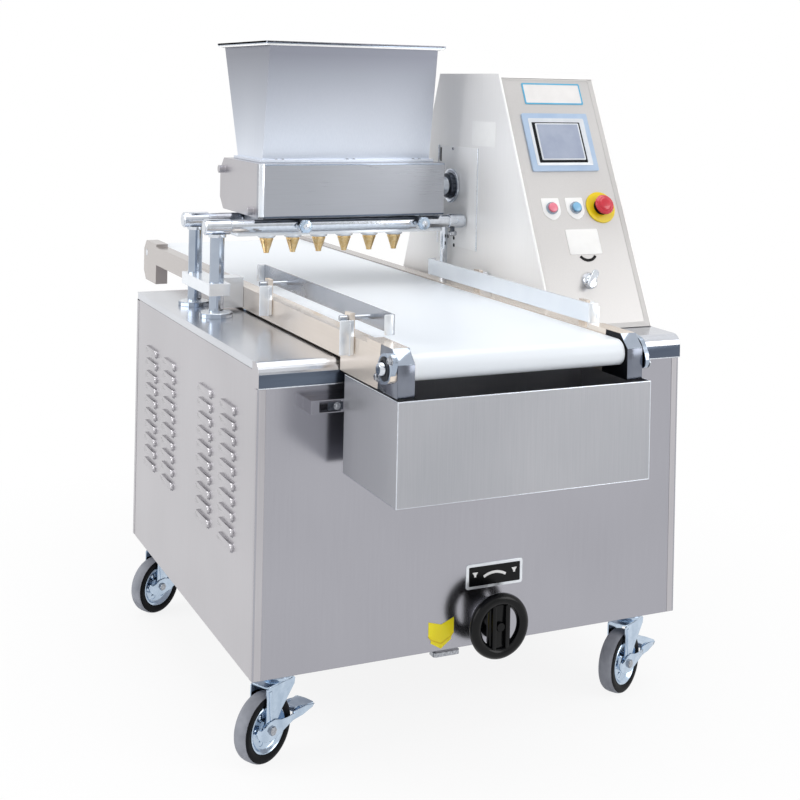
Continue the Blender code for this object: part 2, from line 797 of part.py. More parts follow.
def make_slide_block():
    low = (column_x - slide_block_width / 2, column_front_y - rail_block_margin, slide_block_z)
    high = (column_x + slide_block_width / 2, column_rear_y + rail_block_margin,
            slide_block_z + slide_block_height)
    arm_middle = (column_front_y + column_rear_y) / 2
    foot = channel_foot + channel_wall
    arm = box((high[0] - embed, arm_middle - slide_arm_width / 2, foot),
              (conveyor_left - touch_gap, arm_middle + slide_arm_width / 2, high[2]))
    bores = []
    for y in (column_front_y, column_rear_y):
        bores.append(rod(column_radius + run_gap, low[2] - overrun, high[2] + overrun, (column_x, y, 0),
                         "z", fine_sides))
    piece("slide_block", "polished_steel", box(low, high), adds=[arm], cuts=bores, smooth=False)


def make_guides():
    middle = (conveyor_left + conveyor_right) / 2
    foot = belt_top + guide_above_belt
    for name, outward in (("guide_rail_left", -1), ("guide_rail_right", 1)):
        inner_x = middle + outward * guide_spacing / 2
        outer_x = inner_x + outward * guide_thickness
        bar = box((min(inner_x, outer_x), guide_front, foot),
                  (max(inner_x, outer_x), guide_rear, foot + guide_height))
        rods = []
        channel_edge = conveyor_left if outward < 0 else conveyor_right
        far_x = channel_edge + outward * (guide_bracket_thickness + guide_rod_stub)
        for y in bracket_places():
            start = min(far_x, outer_x - outward * embed / 2)
            end = max(far_x, outer_x - outward * embed / 2)
            rods.append(rod(guide_rod_radius, start, end, (0, y, guide_rod_z()), "x", small_sides))
        piece(name, "polished_steel", bar, adds=rods)


# Columns and head frame
def make_head_frame():
    block_foot = rail_z - rail_block_height / 2
    for name, y in (("column_front", column_front_y), ("column_rear", column_rear_y)):
        start = deck_top + touch_gap
        profile = [(column_flange_radius, start), (column_flange_radius, start + column_flange_height),
                   (column_radius, start + column_flange_height), (column_radius, block_foot - touch_gap)]
        piece(name, "polished_steel", turned(profile, (column_x, y, 0), "z"))
    for name, y in (("head_rail_front", column_front_y), ("head_rail_rear", column_rear_y)):
        piece(name, "polished_steel", rod(rail_radius, rail_left, rail_right, (0, y, rail_z), "x",
                                          fine_sides))
    for name, x, width in (("rail_block_left", column_x, rail_block_width),
                           ("rail_block_right", right_block_x, right_block_width)):
        half = width / 2
        low = (x - half, column_front_y - rail_block_margin, block_foot)
        high = (x + half, column_rear_y + rail_block_margin, rail_z + rail_block_height / 2)
        bores = []
        for y in (column_front_y, column_rear_y):
            bores.append(rod(rail_radius + touch_gap, low[0] - overrun, high[0] + overrun, (0, y, rail_z),
                             "x", fine_sides))
        piece(name, "polished_steel", box(low, high), cuts=bores, smooth=False)
    post_x = tower_left - tower_sheet - clear_gap - post_radius
    post_y = (column_front_y + column_rear_y) / 2
    start = deck_top + touch_gap
    piece("head_post_right", "polished_steel",
          rod(post_radius, start, block_foot - touch_gap, (post_x, post_y, 0), "z"))


# Pump head
feed_z = (head_floor + head_top) / 2
feed_rear_y = feed_front_y + feed_spacing
body_left = head_left + end_cap_thickness + touch_gap
body_right = head_right - end_cap_thickness - touch_gap


def head_outline():
    low_y, high_y, low_z, high_z, corner = head_front, head_rear, head_floor, head_top, head_corner
    return [(low_y, low_z), (high_y - corner, low_z), (high_y, low_z + corner), (high_y, high_z - corner),
            (high_y - corner, high_z), (low_y, high_z)]


def feed_roller_outline(centre_y, turn):
    outline = []
    for i in range(feed_lobes * 4):
        radius = feed_radius - (feed_lobe_depth if i % 4 in (2, 3) else 0)
        angle = 2 * math.pi * (i + turn) / (feed_lobes * 4)
        outline.append((centre_y + radius * math.cos(angle), feed_z + radius * math.sin(angle)))
    return outline


def make_pump():
    body = prism(head_outline(), "x", body_left, body_right)
    cuts = []
    for y in (feed_front_y, feed_rear_y):
        cuts.append(rod(feed_radius + feed_bore_gap, body_left - overrun, body_right + overrun,
                        (0, y, feed_z), "x",
                        fine_sides))
    middle = (feed_front_y + feed_rear_y) / 2
    wall = end_cap_thickness
    cuts.append(box((body_left + wall, middle - throat_depth / 2, feed_z),
                    (body_right - wall, middle + throat_depth / 2, head_top + overrun)))
    cuts.append(box((body_left + wall, nozzle_y - outlet_slot / 2, head_floor - overrun),
                    (body_right - wall, nozzle_y + outlet_slot / 2, feed_z)))
    piece("pump_body", "brushed_steel", body, cuts=cuts)
    for name, low_x, high_x in (("pump_cap_left", head_left, head_left + end_cap_thickness),
                                ("pump_cap_right", head_right - end_cap_thickness, head_right)):
        adds = []
        bores = []
        if name == "pump_cap_left":
            for y, z in ((head_rear - cap_knob_inset, head_top - head_corner),
                         (head_front + head_corner, head_floor + head_corner / 2)):
                adds.append(rod(cap_knob_radius, low_x - cap_knob_reach, low_x + embed / 2, (0, y, z), "x"))
        for y in (feed_front_y, feed_rear_y):
            bore_start = low_x + shaft_socket_depth if name == "pump_cap_left" else low_x - overrun
            bores.append(rod(feed_shaft_radius + run_gap, bore_start, high_x + overrun, (0, y, feed_z), "x"))
        piece(name, "brushed_steel", prism(head_outline(), "x", low_x, high_x), adds=adds, cuts=bores)
    cover_outline = rounded_outline((head_front - front_cover_thickness, head_floor),
                                    (head_front - touch_gap, head_top), front_cover_thickness / 3, 3)
    piece("pump_front_cover", "brushed_steel", prism(cover_outline, "x", head_left, head_right))
    shaft_start = head_left + shaft_socket_depth + touch_gap
    for name, y, turn in (("feed_roller_front", feed_front_y, 0), ("feed_roller_rear", feed_rear_y, 2)):
        lobes = prism(feed_roller_outline(y, turn), "x", body_left + run_gap, body_right - run_gap)
        shaft = rod(feed_shaft_radius, shaft_start, head_right - shaft_socket_depth, (0, y, feed_z), "x")
        piece(name, "white_plastic", lobes, adds=[shaft], origin=(0, y, feed_z), smooth=False)
    start = head_right + touch_gap
    end = tower_left + gearmotor_socket
    claw_start = start + coupling_claw
    profile = [(feed_shaft_radius, head_right - shaft_socket_depth + touch_gap),
               (feed_shaft_radius, start + sheet),
               (coupling_radius, start + sheet), (coupling_radius, claw_start), (feed_shaft_radius,
                                                                                 claw_start),
               (feed_shaft_radius, claw_start + sheet), (coupling_radius, claw_start + sheet),
               (coupling_radius, claw_start + coupling_claw * 2), (feed_shaft_radius,
                                                                   claw_start + coupling_claw * 2),
               (feed_shaft_radius, end)]
    piece("drive_coupling", "polished_steel", turned(profile, (0, feed_front_y, feed_z), "x", coarse_sides),
          origin=(0, feed_front_y, feed_z))


def frustum(low_x, high_x, foot_front, foot_rear, foot_z, rim_front, rim_rear, rim_z):
    shape = bmesh.new()
    lower = [(low_x, foot_front), (high_x, foot_front), (high_x, foot_rear), (low_x, foot_rear)]
    upper = [(low_x, rim_front), (high_x, rim_front), (high_x, rim_rear), (low_x, rim_rear)]
    bottom = [shape.verts.new((x, y, foot_z)) for x, y in lower]
    top = [shape.verts.new((x, y, rim_z)) for x, y in upper]
    shape.faces.new(list(reversed(bottom)))
    shape.faces.new(top)
    for i in range(4):
        j = (i + 1) % 4
        shape.faces.new([bottom[i], bottom[j], top[j], top[i]])
    return shape


def make_hopper():
    foot_z = head_top + touch_gap
    right = hopper_left + hopper_width
    outer = frustum(hopper_left, right, hopper_foot_front, hopper_foot_rear, foot_z,
                    hopper_rim_front, hopper_rim_rear, hopper_rim_z)
    rise = hopper_rim_z - foot_z
    front_lean = (hopper_rim_front - hopper_foot_front) / rise * overrun
    rear_lean = (hopper_rim_rear - hopper_foot_rear) / rise * overrun
    wall = hopper_sheet
    inner = frustum(hopper_left + wall, right - wall, hopper_foot_front + wall - front_lean,
                    hopper_foot_rear - wall - rear_lean, foot_z - overrun, hopper_rim_front + wall + front_lean,
                    hopper_rim_rear - wall + rear_lean, hopper_rim_z + overrun)
    flange = box((hopper_left - hopper_rim_flange, hopper_rim_front - hopper_rim_flange,
                  hopper_rim_z - hopper_rim_height),
                 (right + hopper_rim_flange, hopper_rim_rear + hopper_rim_flange, hopper_rim_z))
    foot = box((hopper_left - hopper_foot_flange, hopper_foot_front - hopper_foot_flange, foot_z),
               (right + hopper_foot_flange, hopper_foot_rear + hopper_foot_flange,
                foot_z + hopper_foot_height))
    piece("hopper", "brushed_steel", outer, adds=[flange, foot], cuts=[inner], smooth=False)


def make_nozzles():
    low_y = column_front_y + rail_radius + clear_gap
    high_y = column_rear_y - rail_radius - clear_gap
    top = nozzle_plate_z + nozzle_plate_height
    plate = box((nozzle_plate_left, low_y, nozzle_plate_z), (nozzle_plate_right, high_y, top))
    last_x = nozzle_first_x + (nozzle_count - 1) * nozzle_pitch
    block_foot = top - embed
    block = box((nozzle_first_x - manifold_margin, nozzle_y - manifold_depth / 2, block_foot),
                (last_x + manifold_margin, nozzle_y + manifold_depth / 2, head_floor - touch_gap))
    cones = []
    bores = []
    for i in range(nozzle_count):
        centre = (nozzle_first_x + i * nozzle_pitch, nozzle_y, 0)
        shoulder = nozzle_plate_z - collar_height
        tip = shoulder - nozzle_length
        profile = [(nozzle_tip_radius, tip), (nozzle_top_radius, shoulder), (collar_radius, shoulder),
                   (collar_radius, nozzle_plate_z + embed)]
        cones.append(turned(profile, centre, "z", coarse_sides))
        bores.append(rod(nozzle_bore_radius, tip - overrun, head_floor + overrun, centre, "z", small_sides))
    piece("nozzle_manifold", "brass", plate, adds=[block] + cones, cuts=bores)
    for name, x in (("clamp_knob_left", clamp_knob_x[0]), ("clamp_knob_right", clamp_knob_x[1])):
        face = column_front_y - rail_radius - touch_gap
        outline = []
        for i in range(clamp_knob_lobes * 4):
            angle = 2 * math.pi * i / (clamp_knob_lobes * 4)
            dip = (1 - math.cos(clamp_knob_lobes * angle)) / 2
            reach = clamp_knob_radius * (1 - knob_scallop_share * dip)
            outline.append((x + reach * math.cos(angle), rail_z + reach * math.sin(angle)))
        knob = prism(outline, "y", face - clamp_stem_radius - clamp_knob_length, face - clamp_stem_radius)
        stem = rod(clamp_stem_radius, face - clamp_stem_radius - embed, face, (x, 0, rail_z), "y",
                   small_sides)
        piece(name, "polished_steel", knob, adds=[stem], origin=(x, face, rail_z))


# Tower: its sloped face carries the controls. Places on that face are (across, up the slope).
tower_right = cabinet_width
cover_foot = feed_z - cover_below_shaft
cover_top = feed_z + cover_above_shaft
slope_run = tower_front_top - tower_front_foot
tower_foot = deck_top + touch_gap
slope_rise = tower_top - tower_foot
slope_length = math.hypot(slope_run, slope_rise)
slope_angle = math.atan2(slope_rise, slope_run)
face_matrix = Matrix.Translation((tower_left, tower_front_foot, tower_foot)) @ Matrix.Rotation(slope_angle,
                                                                                               4, "X")


def tower_outline():
    return [(tower_front_foot, tower_foot), (tower_rear_foot, tower_foot), (tower_rear_top, tower_top),
            (tower_front_top, tower_top)]


def on_face(shape):
    """Carry a shape made on the panel's own plane (x across, y up the slope, z outwards) to its place."""
    bmesh.ops.transform(shape, matrix=face_matrix, verts=shape.verts)
    return shape


def face_point(across, up, out):
    return tuple(face_matrix @ Vector((across, up, out)))


def face_piece(name, material, shape, across, up, out, adds=(), cuts=()):
    item = piece(name, material, on_face(shape), [on_face(s) for s in adds], [on_face(s) for s in cuts],
                 origin=face_point(across, up, out))
    return item


def make_tower():
    wall = tower_sheet
    shell = prism(tower_outline(), "x", tower_left, tower_right)
    rear_slope = (tower_rear_foot - tower_rear_top) / slope_rise
    lean = wall * math.hypot(1, rear_slope)
    inner_top = tower_top - wall
    top_rear = tower_rear_top + rear_slope * wall - lean
    foot_rear = tower_rear_foot + rear_slope * overrun - lean
    reach = tower_reach
    inner = [(tower_front_foot - reach, tower_foot - overrun), (foot_rear, tower_foot - overrun),
             (top_rear, inner_top),
             (tower_front_top + wall, inner_top), (tower_front_top - reach, inner_top - reach)]
    hollow = prism(inner, "x", tower_left + wall, tower_right - wall)
    shaft_hole = rod(coupling_radius + clear_gap, tower_left - overrun, tower_left + overrun,
                     (0, feed_front_y, feed_z), "x")
    piece("tower_housing", "brushed_steel", shell, cuts=[hollow, shaft_hole], smooth=False)
    plate = box((wall + touch_gap, panel_margin, -panel_rim),
                (tower_width - wall - touch_gap, slope_length - panel_rim, -panel_rim + wall))
    stems = []
    for across in (button_start_x, button_stop_x, estop_x):
        stems.append(rod(button_radius / 2 + run_gap, -overrun * 2, overrun, (across, button_height, 0),
                         "z"))
    stems.append(rod(selector_radius / 2 + run_gap, -overrun * 2, overrun, (selector_x, selector_height, 0),
                     "z"))
    face_piece("control_panel", "brushed_steel", plate, 0, 0, 0, cuts=stems)
    cover_low = (tower_left - tower_sheet / 2 - touch_gap, cover_front, cover_foot)
    cover_high = (tower_left - touch_gap, cover_rear, cover_top)
    slot = box((tower_left - overrun, cover_rear - cover_slot_width, cover_top - cover_slot_length),
               (tower_left + overrun, cover_rear + overrun, cover_top + overrun))
    window = rod(coupling_radius + clear_gap, tower_left - overrun, tower_left + overrun,
                 (0, feed_front_y, feed_z), "x")
    piece("drive_cover", "brushed_steel", box(cover_low, cover_high), cuts=[slot, window], smooth=False)
    motor_start = tower_left + wall + overrun
    motor_end = motor_start + gearmotor_length
    motor = rod(gearmotor_radius, motor_start, motor_end, (0, feed_front_y, feed_z), "x", fine_sides)
    bore = rod(feed_shaft_radius + run_gap, motor_start - overrun, tower_left + gearmotor_length / 2,
               (0, feed_front_y, feed_z), "x")
    half = gearmotor_radius / 2
    foot = box((motor_start + overrun, feed_front_y - half, tower_foot),
               (motor_end - overrun, feed_front_y + half, feed_z - half))
    piece("drive_gearmotor", "painted_grey", motor, adds=[foot], cuts=[bore])


panel_face = -panel_rim + tower_sheet + touch_gap


def make_controls():
    low = (screen_left, screen_foot, panel_face)
    high = (screen_left + screen_width, screen_foot + screen_height, panel_face + screen_proud)
    inset = screen_glass_inset_share * screen_height
    glass = box((low[0] + inset, low[1] + inset, high[2] - screen_recess),
                (high[0] - inset, high[1] - inset, high[2] + overrun))
    face_piece("touch_screen", "screen_blue", box(low, high), screen_left, screen_foot, 0, cuts=[glass])
    for name, across, colour in (("start_button", button_start_x, "red_plastic"),
                                 ("stop_button", button_stop_x, "blue_plastic")):
        out = panel_face + button_travel + touch_gap
        profile = [(button_radius / 2, panel_face - overrun), (button_radius / 2, out), (button_radius, out),
                   (button_radius, out + button_length - soft_bevel), (button_radius - soft_bevel,
                                                                       out + button_length)]
        face_piece(name, colour, turned(profile, (across, button_height, 0), "z"), across, button_height,
                   out)
    centre = (estop_x, button_height, 0)
    ring = rod(estop_ring_radius, panel_face, panel_face + estop_ring_height, centre, "z", fine_sides)
    ring_hole = rod(button_radius / 2 + run_gap, panel_face - overrun, overrun, centre, "z")
    face_piece("estop_ring", "yellow_plastic", ring, estop_x, button_height, 0, cuts=[ring_hole])
    out = panel_face + estop_ring_height + button_travel + touch_gap
    profile = [(button_radius / 2, panel_face - overrun), (button_radius / 2, out), (estop_neck_radius, out),
               (estop_neck_radius, out + estop_height / 3), (estop_radius, out + estop_height / 2),
               (estop_shoulder_radius, out + estop_height * estop_shoulder_share),
               (estop_crown_radius, out + estop_height)]
    face_piece("estop_button", "red_plastic", turned(profile, centre, "z"), estop_x, button_height, out)
    out = panel_face + touch_gap
    stem = rod(selector_radius / 2, out - overrun, out + embed, (selector_x, selector_height, 0), "z")
    collar = rod(selector_radius, out, out + selector_length / 3, (selector_x, selector_height, 0), "z",
                 fine_sides)
    bar = box((selector_x - selector_bar_reach, selector_height - selector_radius / 3, out + embed),
              (selector_x + selector_bar_reach, selector_height + selector_radius / 3,
               out + selector_length))
    face_piece("selector_handle", "polished_steel", collar, selector_x, selector_height, out,
               adds=[stem, bar])


# Casters
def make_caster(name, x, y):
    """Swivel caster, its wheel trailing towards -X; swivel axis at x, y."""
    top = cabinet_underside - caster_plate_height - touch_gap
    wheel_x = x - wheel_trail
    pin_x = x + pedal_x
    half = wheel_width / 2
    inner = half + fork_gap
    neck_foot = top - race_height
    neck = rod(race_radius, neck_foot, top, (x, y, 0), "z", fine_sides)
    bridge = box((wheel_x - fork_half_width * bridge_share, y - inner - fork_sheet / 2,
                  neck_foot - fork_sheet),
                 (x + race_radius * bridge_share, y + inner + fork_sheet / 2, neck_foot + embed / 2))
    adds = [bridge]
    for side in (-1, 1):
        near = y + side * inner
        far = y + side * (inner + fork_sheet)
        cheek = [(wheel_x - fork_foot_half_width, wheel_radius - fork_foot_drop),
                 (wheel_x + fork_foot_half_width, wheel_radius - fork_foot_drop),
                 (pin_x + pedal_pin_radius, pedal_z - pedal_pin_radius),
                 (pin_x + pedal_pin_radius, pedal_z + pedal_pin_radius),
                 (x + race_radius, neck_foot - fork_sheet / 2), (wheel_x - fork_half_width,
                                                                 neck_foot - fork_sheet / 2),
                 (wheel_x - fork_half_width, wheel_radius + fork_half_width)]
        adds.append(prism(cheek, "y", min(near, far), max(near, far)))
    reach = inner + fork_sheet
    adds.append(rod(axle_radius, y - reach - axle_radius, y + reach + axle_radius,
                    (wheel_x, 0, wheel_radius), "y", small_sides))
    fork = piece(f"caster_fork_{name}", "zinc", neck, adds=adds, origin=(x, y, top))
    bulge = wheel_radius - soft_bevel * 2
    profile = [(axle_radius + run_gap, -half), (wheel_hub_radius, -half),
               (wheel_hub_radius, -half + wheel_rim_recess),
               (wheel_rim_radius, -half + wheel_rim_recess), (wheel_rim_radius + soft_bevel * 2, -half),
               (bulge - soft_bevel * 2, -half), (wheel_radius, -half / 2), (wheel_radius, half / 2),
               (bulge - soft_bevel * 2, half), (wheel_rim_radius + soft_bevel * 2, half),
               (wheel_rim_radius, half - wheel_rim_recess), (wheel_hub_radius, half - wheel_rim_recess),
               (wheel_hub_radius, half), (axle_radius + run_gap, half), (axle_radius + run_gap, -half)]
    wheel = piece(f"caster_wheel_{name}", "tyre_rubber",
          turned(profile, (wheel_x, y, wheel_radius), "y", fine_sides),
          origin=(wheel_x, y, wheel_radius))
    pin_z = pedal_z
    pin_reach = inner - touch_gap
    pin = rod(pedal_pin_radius, y - pin_reach, y + pin_reach, (pin_x, 0, pin_z), "y")
    tread = box((pin_x, y - pedal_width / 2, pin_z - pedal_thickness),
                (pin_x + pedal_length, y + pedal_width / 2, pin_z))
    lip = box((pin_x + pedal_length - pedal_thickness, y - pedal_width / 2, pin_z - pedal_thickness * 2),
              (pin_x + pedal_length, y + pedal_width / 2, pin_z - embed / 2))
    pedal = piece(f"caster_pedal_{name}", "zinc", pin, adds=[tread, lip], origin=(pin_x, y, pin_z))
    # Each caster stopped at this heading when the machine was rolled to its place
    turn = Matrix.Rotation(caster_heading, 4, "Z")
    king_pin = Vector((x, y, 0))
    for item in (fork, wheel, pedal):
        for shape in (item, *item.children):
            shape.data.transform(turn)
        item.location = king_pin + turn @ (item.location - king_pin)


make_base_pan()
make_front_panel()
make_side_panel("left_panel", 0, -1)
make_side_panel("right_panel", cabinet_width, 1)
make_rear_panel()
make_top_deck()
make_catch_box()
make_handwheel()
make_lift()
make_conveyor()
make_slide_block()
make_guides()
make_head_frame()
make_pump()
make_hopper()
make_nozzles()
make_tower()
make_controls()
for corner, (corner_x, corner_y) in caster_places().items():
    make_caster(corner, corner_x, corner_y)

# The origin goes to the middle of the footprint, on the floor
view = bpy.context.view_layer
view.update()
depsgraph = bpy.context.evaluated_depsgraph_get()
corners = []
for item in bpy.data.objects:
    if item.type == "MESH" and not item.hide_render:
        shown = item.evaluated_get(depsgraph)
        corners += [shown.matrix_world @ Vector(corner) for corner in shown.bound_box]
middle_x = (min(c.x for c in corners) + max(c.x for c in corners)) / 2
middle_y = (min(c.y for c in corners) + max(c.y for c in corners)) / 2
floor_z = min(c.z for c in corners)
frame_origin.location = (-middle_x, -middle_y, -floor_z)
view.update()
print("shift to the origin", [round(value, 6) for value in frame_origin.location])
for item in bpy.data.objects:
    if item.type == "MESH" and not item.hide_render:
        print("place", item.name, [round(value, 5) for value in item.matrix_world.translation])
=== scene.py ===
# %% [markdown]
# # A bakery depositor in stainless steel
# A depositor squeezes batter from a hopper through six nozzles onto trays that a belt
# carries underneath. The machine is nearly all stainless steel, so the lesson is mostly
# about steel: sheet that was brushed, bar that was polished, and how the room shows in both.
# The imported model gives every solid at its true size. This file adds finishes, and small
# pieces that are too fine for the solid model.

# %% Load the solid model
import math

import bmesh
import bpy
from mathutils import Matrix, Vector


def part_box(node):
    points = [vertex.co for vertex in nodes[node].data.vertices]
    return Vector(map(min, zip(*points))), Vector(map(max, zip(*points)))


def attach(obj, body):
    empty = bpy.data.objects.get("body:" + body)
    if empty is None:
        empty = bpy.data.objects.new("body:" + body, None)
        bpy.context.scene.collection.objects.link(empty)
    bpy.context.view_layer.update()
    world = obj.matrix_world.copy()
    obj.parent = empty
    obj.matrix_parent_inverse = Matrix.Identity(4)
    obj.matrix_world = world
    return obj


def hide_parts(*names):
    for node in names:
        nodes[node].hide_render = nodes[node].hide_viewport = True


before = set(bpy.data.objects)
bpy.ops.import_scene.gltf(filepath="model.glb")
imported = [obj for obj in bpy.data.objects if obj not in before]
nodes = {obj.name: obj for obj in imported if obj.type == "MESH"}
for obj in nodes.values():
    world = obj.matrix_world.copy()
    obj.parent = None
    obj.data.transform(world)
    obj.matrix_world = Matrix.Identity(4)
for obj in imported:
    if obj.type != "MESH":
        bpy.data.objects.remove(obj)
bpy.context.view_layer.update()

# %% [markdown]
# ## Where things are
# A fitter measures this machine from the cabinet's front left corner, on the floor. The
# solid model has its origin under the middle of the machine instead. One function turns the
# fitter's numbers into the model's, so every place below can be read off a tape measure.

# %% The fitter's corner
deck_low, deck_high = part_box("top_deck")
cabinet_depth = 0.885
corner = Vector((deck_low.x, deck_high.y - cabinet_depth, 0))
deck_top = deck_high.z


def at(x, y, z):
    return corner + Vector((x, y, z))


def facing(point, normal, up=(0, 0, 1)):
    # A frame that stands on a surface: X runs to the right, Y up along it, Z straight out
    out = Vector(normal).normalized()
    right = Vector(up).cross(out).normalized()
    along = out.cross(right)
    matrix = Matrix((right, along, out)).transposed().to_4x4()
    matrix.translation = point
    return matrix


print("fitter's corner:", tuple(round(v, 4) for v in corner))

# %% [markdown]
# ## Colours and nodes
# Colours are written as sRGB hex values, as a paint chart gives them. The shader wants
# linear light, so one function does the sum. One more adds a node with its settings and
# its links, which keeps each finish below short enough to read at a glance.


# %% Colour and node helpers
def linear(hex_colour):
    parts = [int(hex_colour[i:i + 2], 16) / 255 for i in (1, 3, 5)]
    return tuple(p / 12.92 if p <= 0.04045 else ((p + 0.055) / 1.055) ** 2.4 for p in parts) + (1,)


def add_node(tree, kind, inputs=None, **settings):
    node = tree.nodes.new(kind)
    for name, value in settings.items():
        setattr(node, name, value)
    for socket, value in (inputs or {}).items():
        if isinstance(value, bpy.types.NodeSocket):
            tree.links.new(value, node.inputs[socket])
        else:
            node.inputs[socket].default_value = value
    return node


def new_finish(name, roughness, metallic=0.0, ior=None):
    material = bpy.data.materials.new(name)
    material.use_nodes = True
    shader = material.node_tree.nodes["Principled BSDF"]
    shader.inputs["Roughness"].default_value = roughness
    shader.inputs["Metallic"].default_value = metallic
    if ior:
        shader.inputs["IOR"].default_value = ior
    return material, material.node_tree, shader


MM = 0.001

# %% [markdown]
# ## Brushed stainless sheet
# The cabinet, hopper and tower are 304 stainless sheet, rubbed with a belt of grit in one
# direction. Real grit lines are about 0.2 mm apart, too fine for this picture, so they are
# drawn 1.2 mm apart and 90 mm long. They change the roughness more than the colour. Slow,
# cloudy patches on top are the mill's rolling marks, which large sheets always show.


# %% Brushed sheet
def brushed_sheet(name, tint, shade, grain, roughness=0.3, line=1.2 * MM, streak=90 * MM, metallic=1.0,
                  fade=None):
    material, tree, shader = new_finish(name, roughness, metallic=metallic)
    place = add_node(tree, "ShaderNodeTexCoord").outputs["Object"]
    scale = [1 / streak if axis == grain else 1 / line for axis in "xyz"]
    stretched = add_node(tree, "ShaderNodeMapping", {"Vector": place, "Scale": scale}).outputs[0]
    lines = add_node(tree, "ShaderNodeTexNoise", {"Vector": stretched, "Scale": 1.0, "Detail": 3.0}).outputs[0]
    clouds = add_node(tree, "ShaderNodeTexNoise", {"Vector": place, "Scale": 4.0, "Detail": 1.0}).outputs[0]
    mixed = add_node(tree, "ShaderNodeMix", {0: 0.6, 2: lines, 3: clouds}, data_type="FLOAT").outputs[0]
    ramp = add_node(tree, "ShaderNodeValToRGB", {"Fac": mixed})
    ramp.color_ramp.elements[0].position = 0.3
    ramp.color_ramp.elements[0].color = linear(shade)
    ramp.color_ramp.elements[1].position = 0.7
    ramp.color_ramp.elements[1].color = linear(tint)
    colour = ramp.outputs[0]
    # Where fade is given, the colour turns towards far along one axis of the piece: a painted gradient of light and
    # shade, not a property of the steel.
    if fade:
        axis, begin, end, far = fade
        whole = add_node(tree, "ShaderNodeTexCoord").outputs["Generated"]
        along = add_node(tree, "ShaderNodeSeparateXYZ", {0: whole}).outputs["XYZ".index(axis)]
        share = add_node(tree, "ShaderNodeMapRange", {"Value": along, "From Min": begin,
                                                      "From Max": end}).outputs[0]
        colour = add_node(tree, "ShaderNodeMix", {0: share, 6: colour, 7: linear(far)}, data_type="RGBA").outputs[2]
    tree.links.new(colour, shader.inputs["Base Color"])
    rough = add_node(tree, "ShaderNodeMapRange", {"Value": mixed, "To Min": roughness * 0.8,
                                                  "To Max": roughness * 1.25})
    tree.links.new(rough.outputs[0], shader.inputs["Roughness"])
    edge = add_node(tree, "ShaderNodeBevel", {"Radius": 1.0 * MM}, samples=4).outputs[0]
    bump = add_node(tree, "ShaderNodeBump",
                    {"Height": lines, "Strength": 0.08, "Distance": 0.2 * MM, "Normal": edge}).outputs[0]
    tree.links.new(bump, shader.inputs["Normal"])
    return material


cabinet_sheet = brushed_sheet("stainless sheet brushed upright", "#C3C1C5", "#B5B3B7", "z")
front_sheet = brushed_sheet("stainless sheet brushed upright fine", "#ACACB3", "#A5A5AC", "z", roughness=0.19)
box_sheet = brushed_sheet("stainless sheet rolled cloudy", "#B9BABF", "#A9ABB1", "z", roughness=0.32, metallic=0.65)
deck_sheet = brushed_sheet("stainless sheet polished lengthwise", "#DADDE3", "#C8CBD2", "y", roughness=0.2)
# The channel's colour turns darker towards its rear: painted shade.
channel_sheet = brushed_sheet("stainless channel polished lengthwise", "#F1E5D8", "#E6DBCF", "y", roughness=0.2,
                              metallic=0.6,
                              fade=("Y", 0.42, 0.62, "#B7B1AE"))
# A dark copy of the sheet for the deck's front lip and the pump cover's bottom strip: painted reflection of the dark
# room, and painted shade.
dark_reflection_sheet = brushed_sheet("stainless fold, painted dark reflection", "#66707F", "#4B5464", "x", roughness=0.2)
# The hopper's colour darkens towards its top: a painted reflection, the lower part mirroring the bright floor and
# belt.
hopper_painted_reflection_sheet = brushed_sheet("stainless sheet glass blasted, painted reflection", "#E6ECF6", "#D6DDE9", "z", roughness=0.34, fade=("Z",
                                                                                                               0.05, 0.9, "#8F929D"))
pump_sheet = brushed_sheet("stainless plate brushed crosswise", "#ABAEB5", "#A2A5AC", "x", roughness=0.28)
# The tower's near-white colour is painted light: a lit copy of the same stainless sheet.
tower_painted_light_sheet = brushed_sheet("stainless sheet brushed pale", "#FBFAF9", "#F1F0EF", "z", roughness=0.42, metallic=0.3)
face_sheet = brushed_sheet("stainless sheet brushed pale fine", "#CBC9C8", "#BFBDBC", "z", roughness=0.38,
                           metallic=0.6)
# Near-white with little metal: painted light on the drive cover, the tower's edge bars and the ring under the
# hopper's hem.
painted_highlight_sheet = brushed_sheet("stainless plate, painted highlight white", "#FFFFFF", "#F6F6F6", "z", roughness=0.36,
                            metallic=0.15)
print("sheet finishes ready")

# %% [markdown]
# ## Polished bar and zinc plate
# The columns, rails and guides are drawn stainless bar with a polish, so they mirror the
# room in long stripes. The casters are mild steel with a bright zinc plate, which is
# bluish, a little cloudy, and duller where the pressing has stretched it.


# %% Polished bar and zinc
def polished_bar(name, tint, shade, roughness, patch=8 * MM, metallic=1.0):
    material, tree, shader = new_finish(name, roughness, metallic=metallic)
    place = add_node(tree, "ShaderNodeTexCoord").outputs["Object"]
    cloud = add_node(tree, "ShaderNodeTexNoise", {"Vector": place, "Scale": 1 / patch, "Detail": 4.0}).outputs[0]
    ramp = add_node(tree, "ShaderNodeValToRGB", {"Fac": cloud})
    ramp.color_ramp.elements[0].position = 0.35
    ramp.color_ramp.elements[0].color = linear(shade)
    ramp.color_ramp.elements[1].position = 0.65
    ramp.color_ramp.elements[1].color = linear(tint)
    tree.links.new(ramp.outputs[0], shader.inputs["Base Color"])
    rough = add_node(tree, "ShaderNodeMapRange", {"Value": cloud, "To Min": roughness * 0.7,
                                                  "To Max": roughness * 1.4})
    tree.links.new(rough.outputs[0], shader.inputs["Roughness"])
    edge = add_node(tree, "ShaderNodeBevel", {"Radius": 0.8 * MM}, samples=4).outputs[0]
    tree.links.new(edge, shader.inputs["Normal"])
    return material


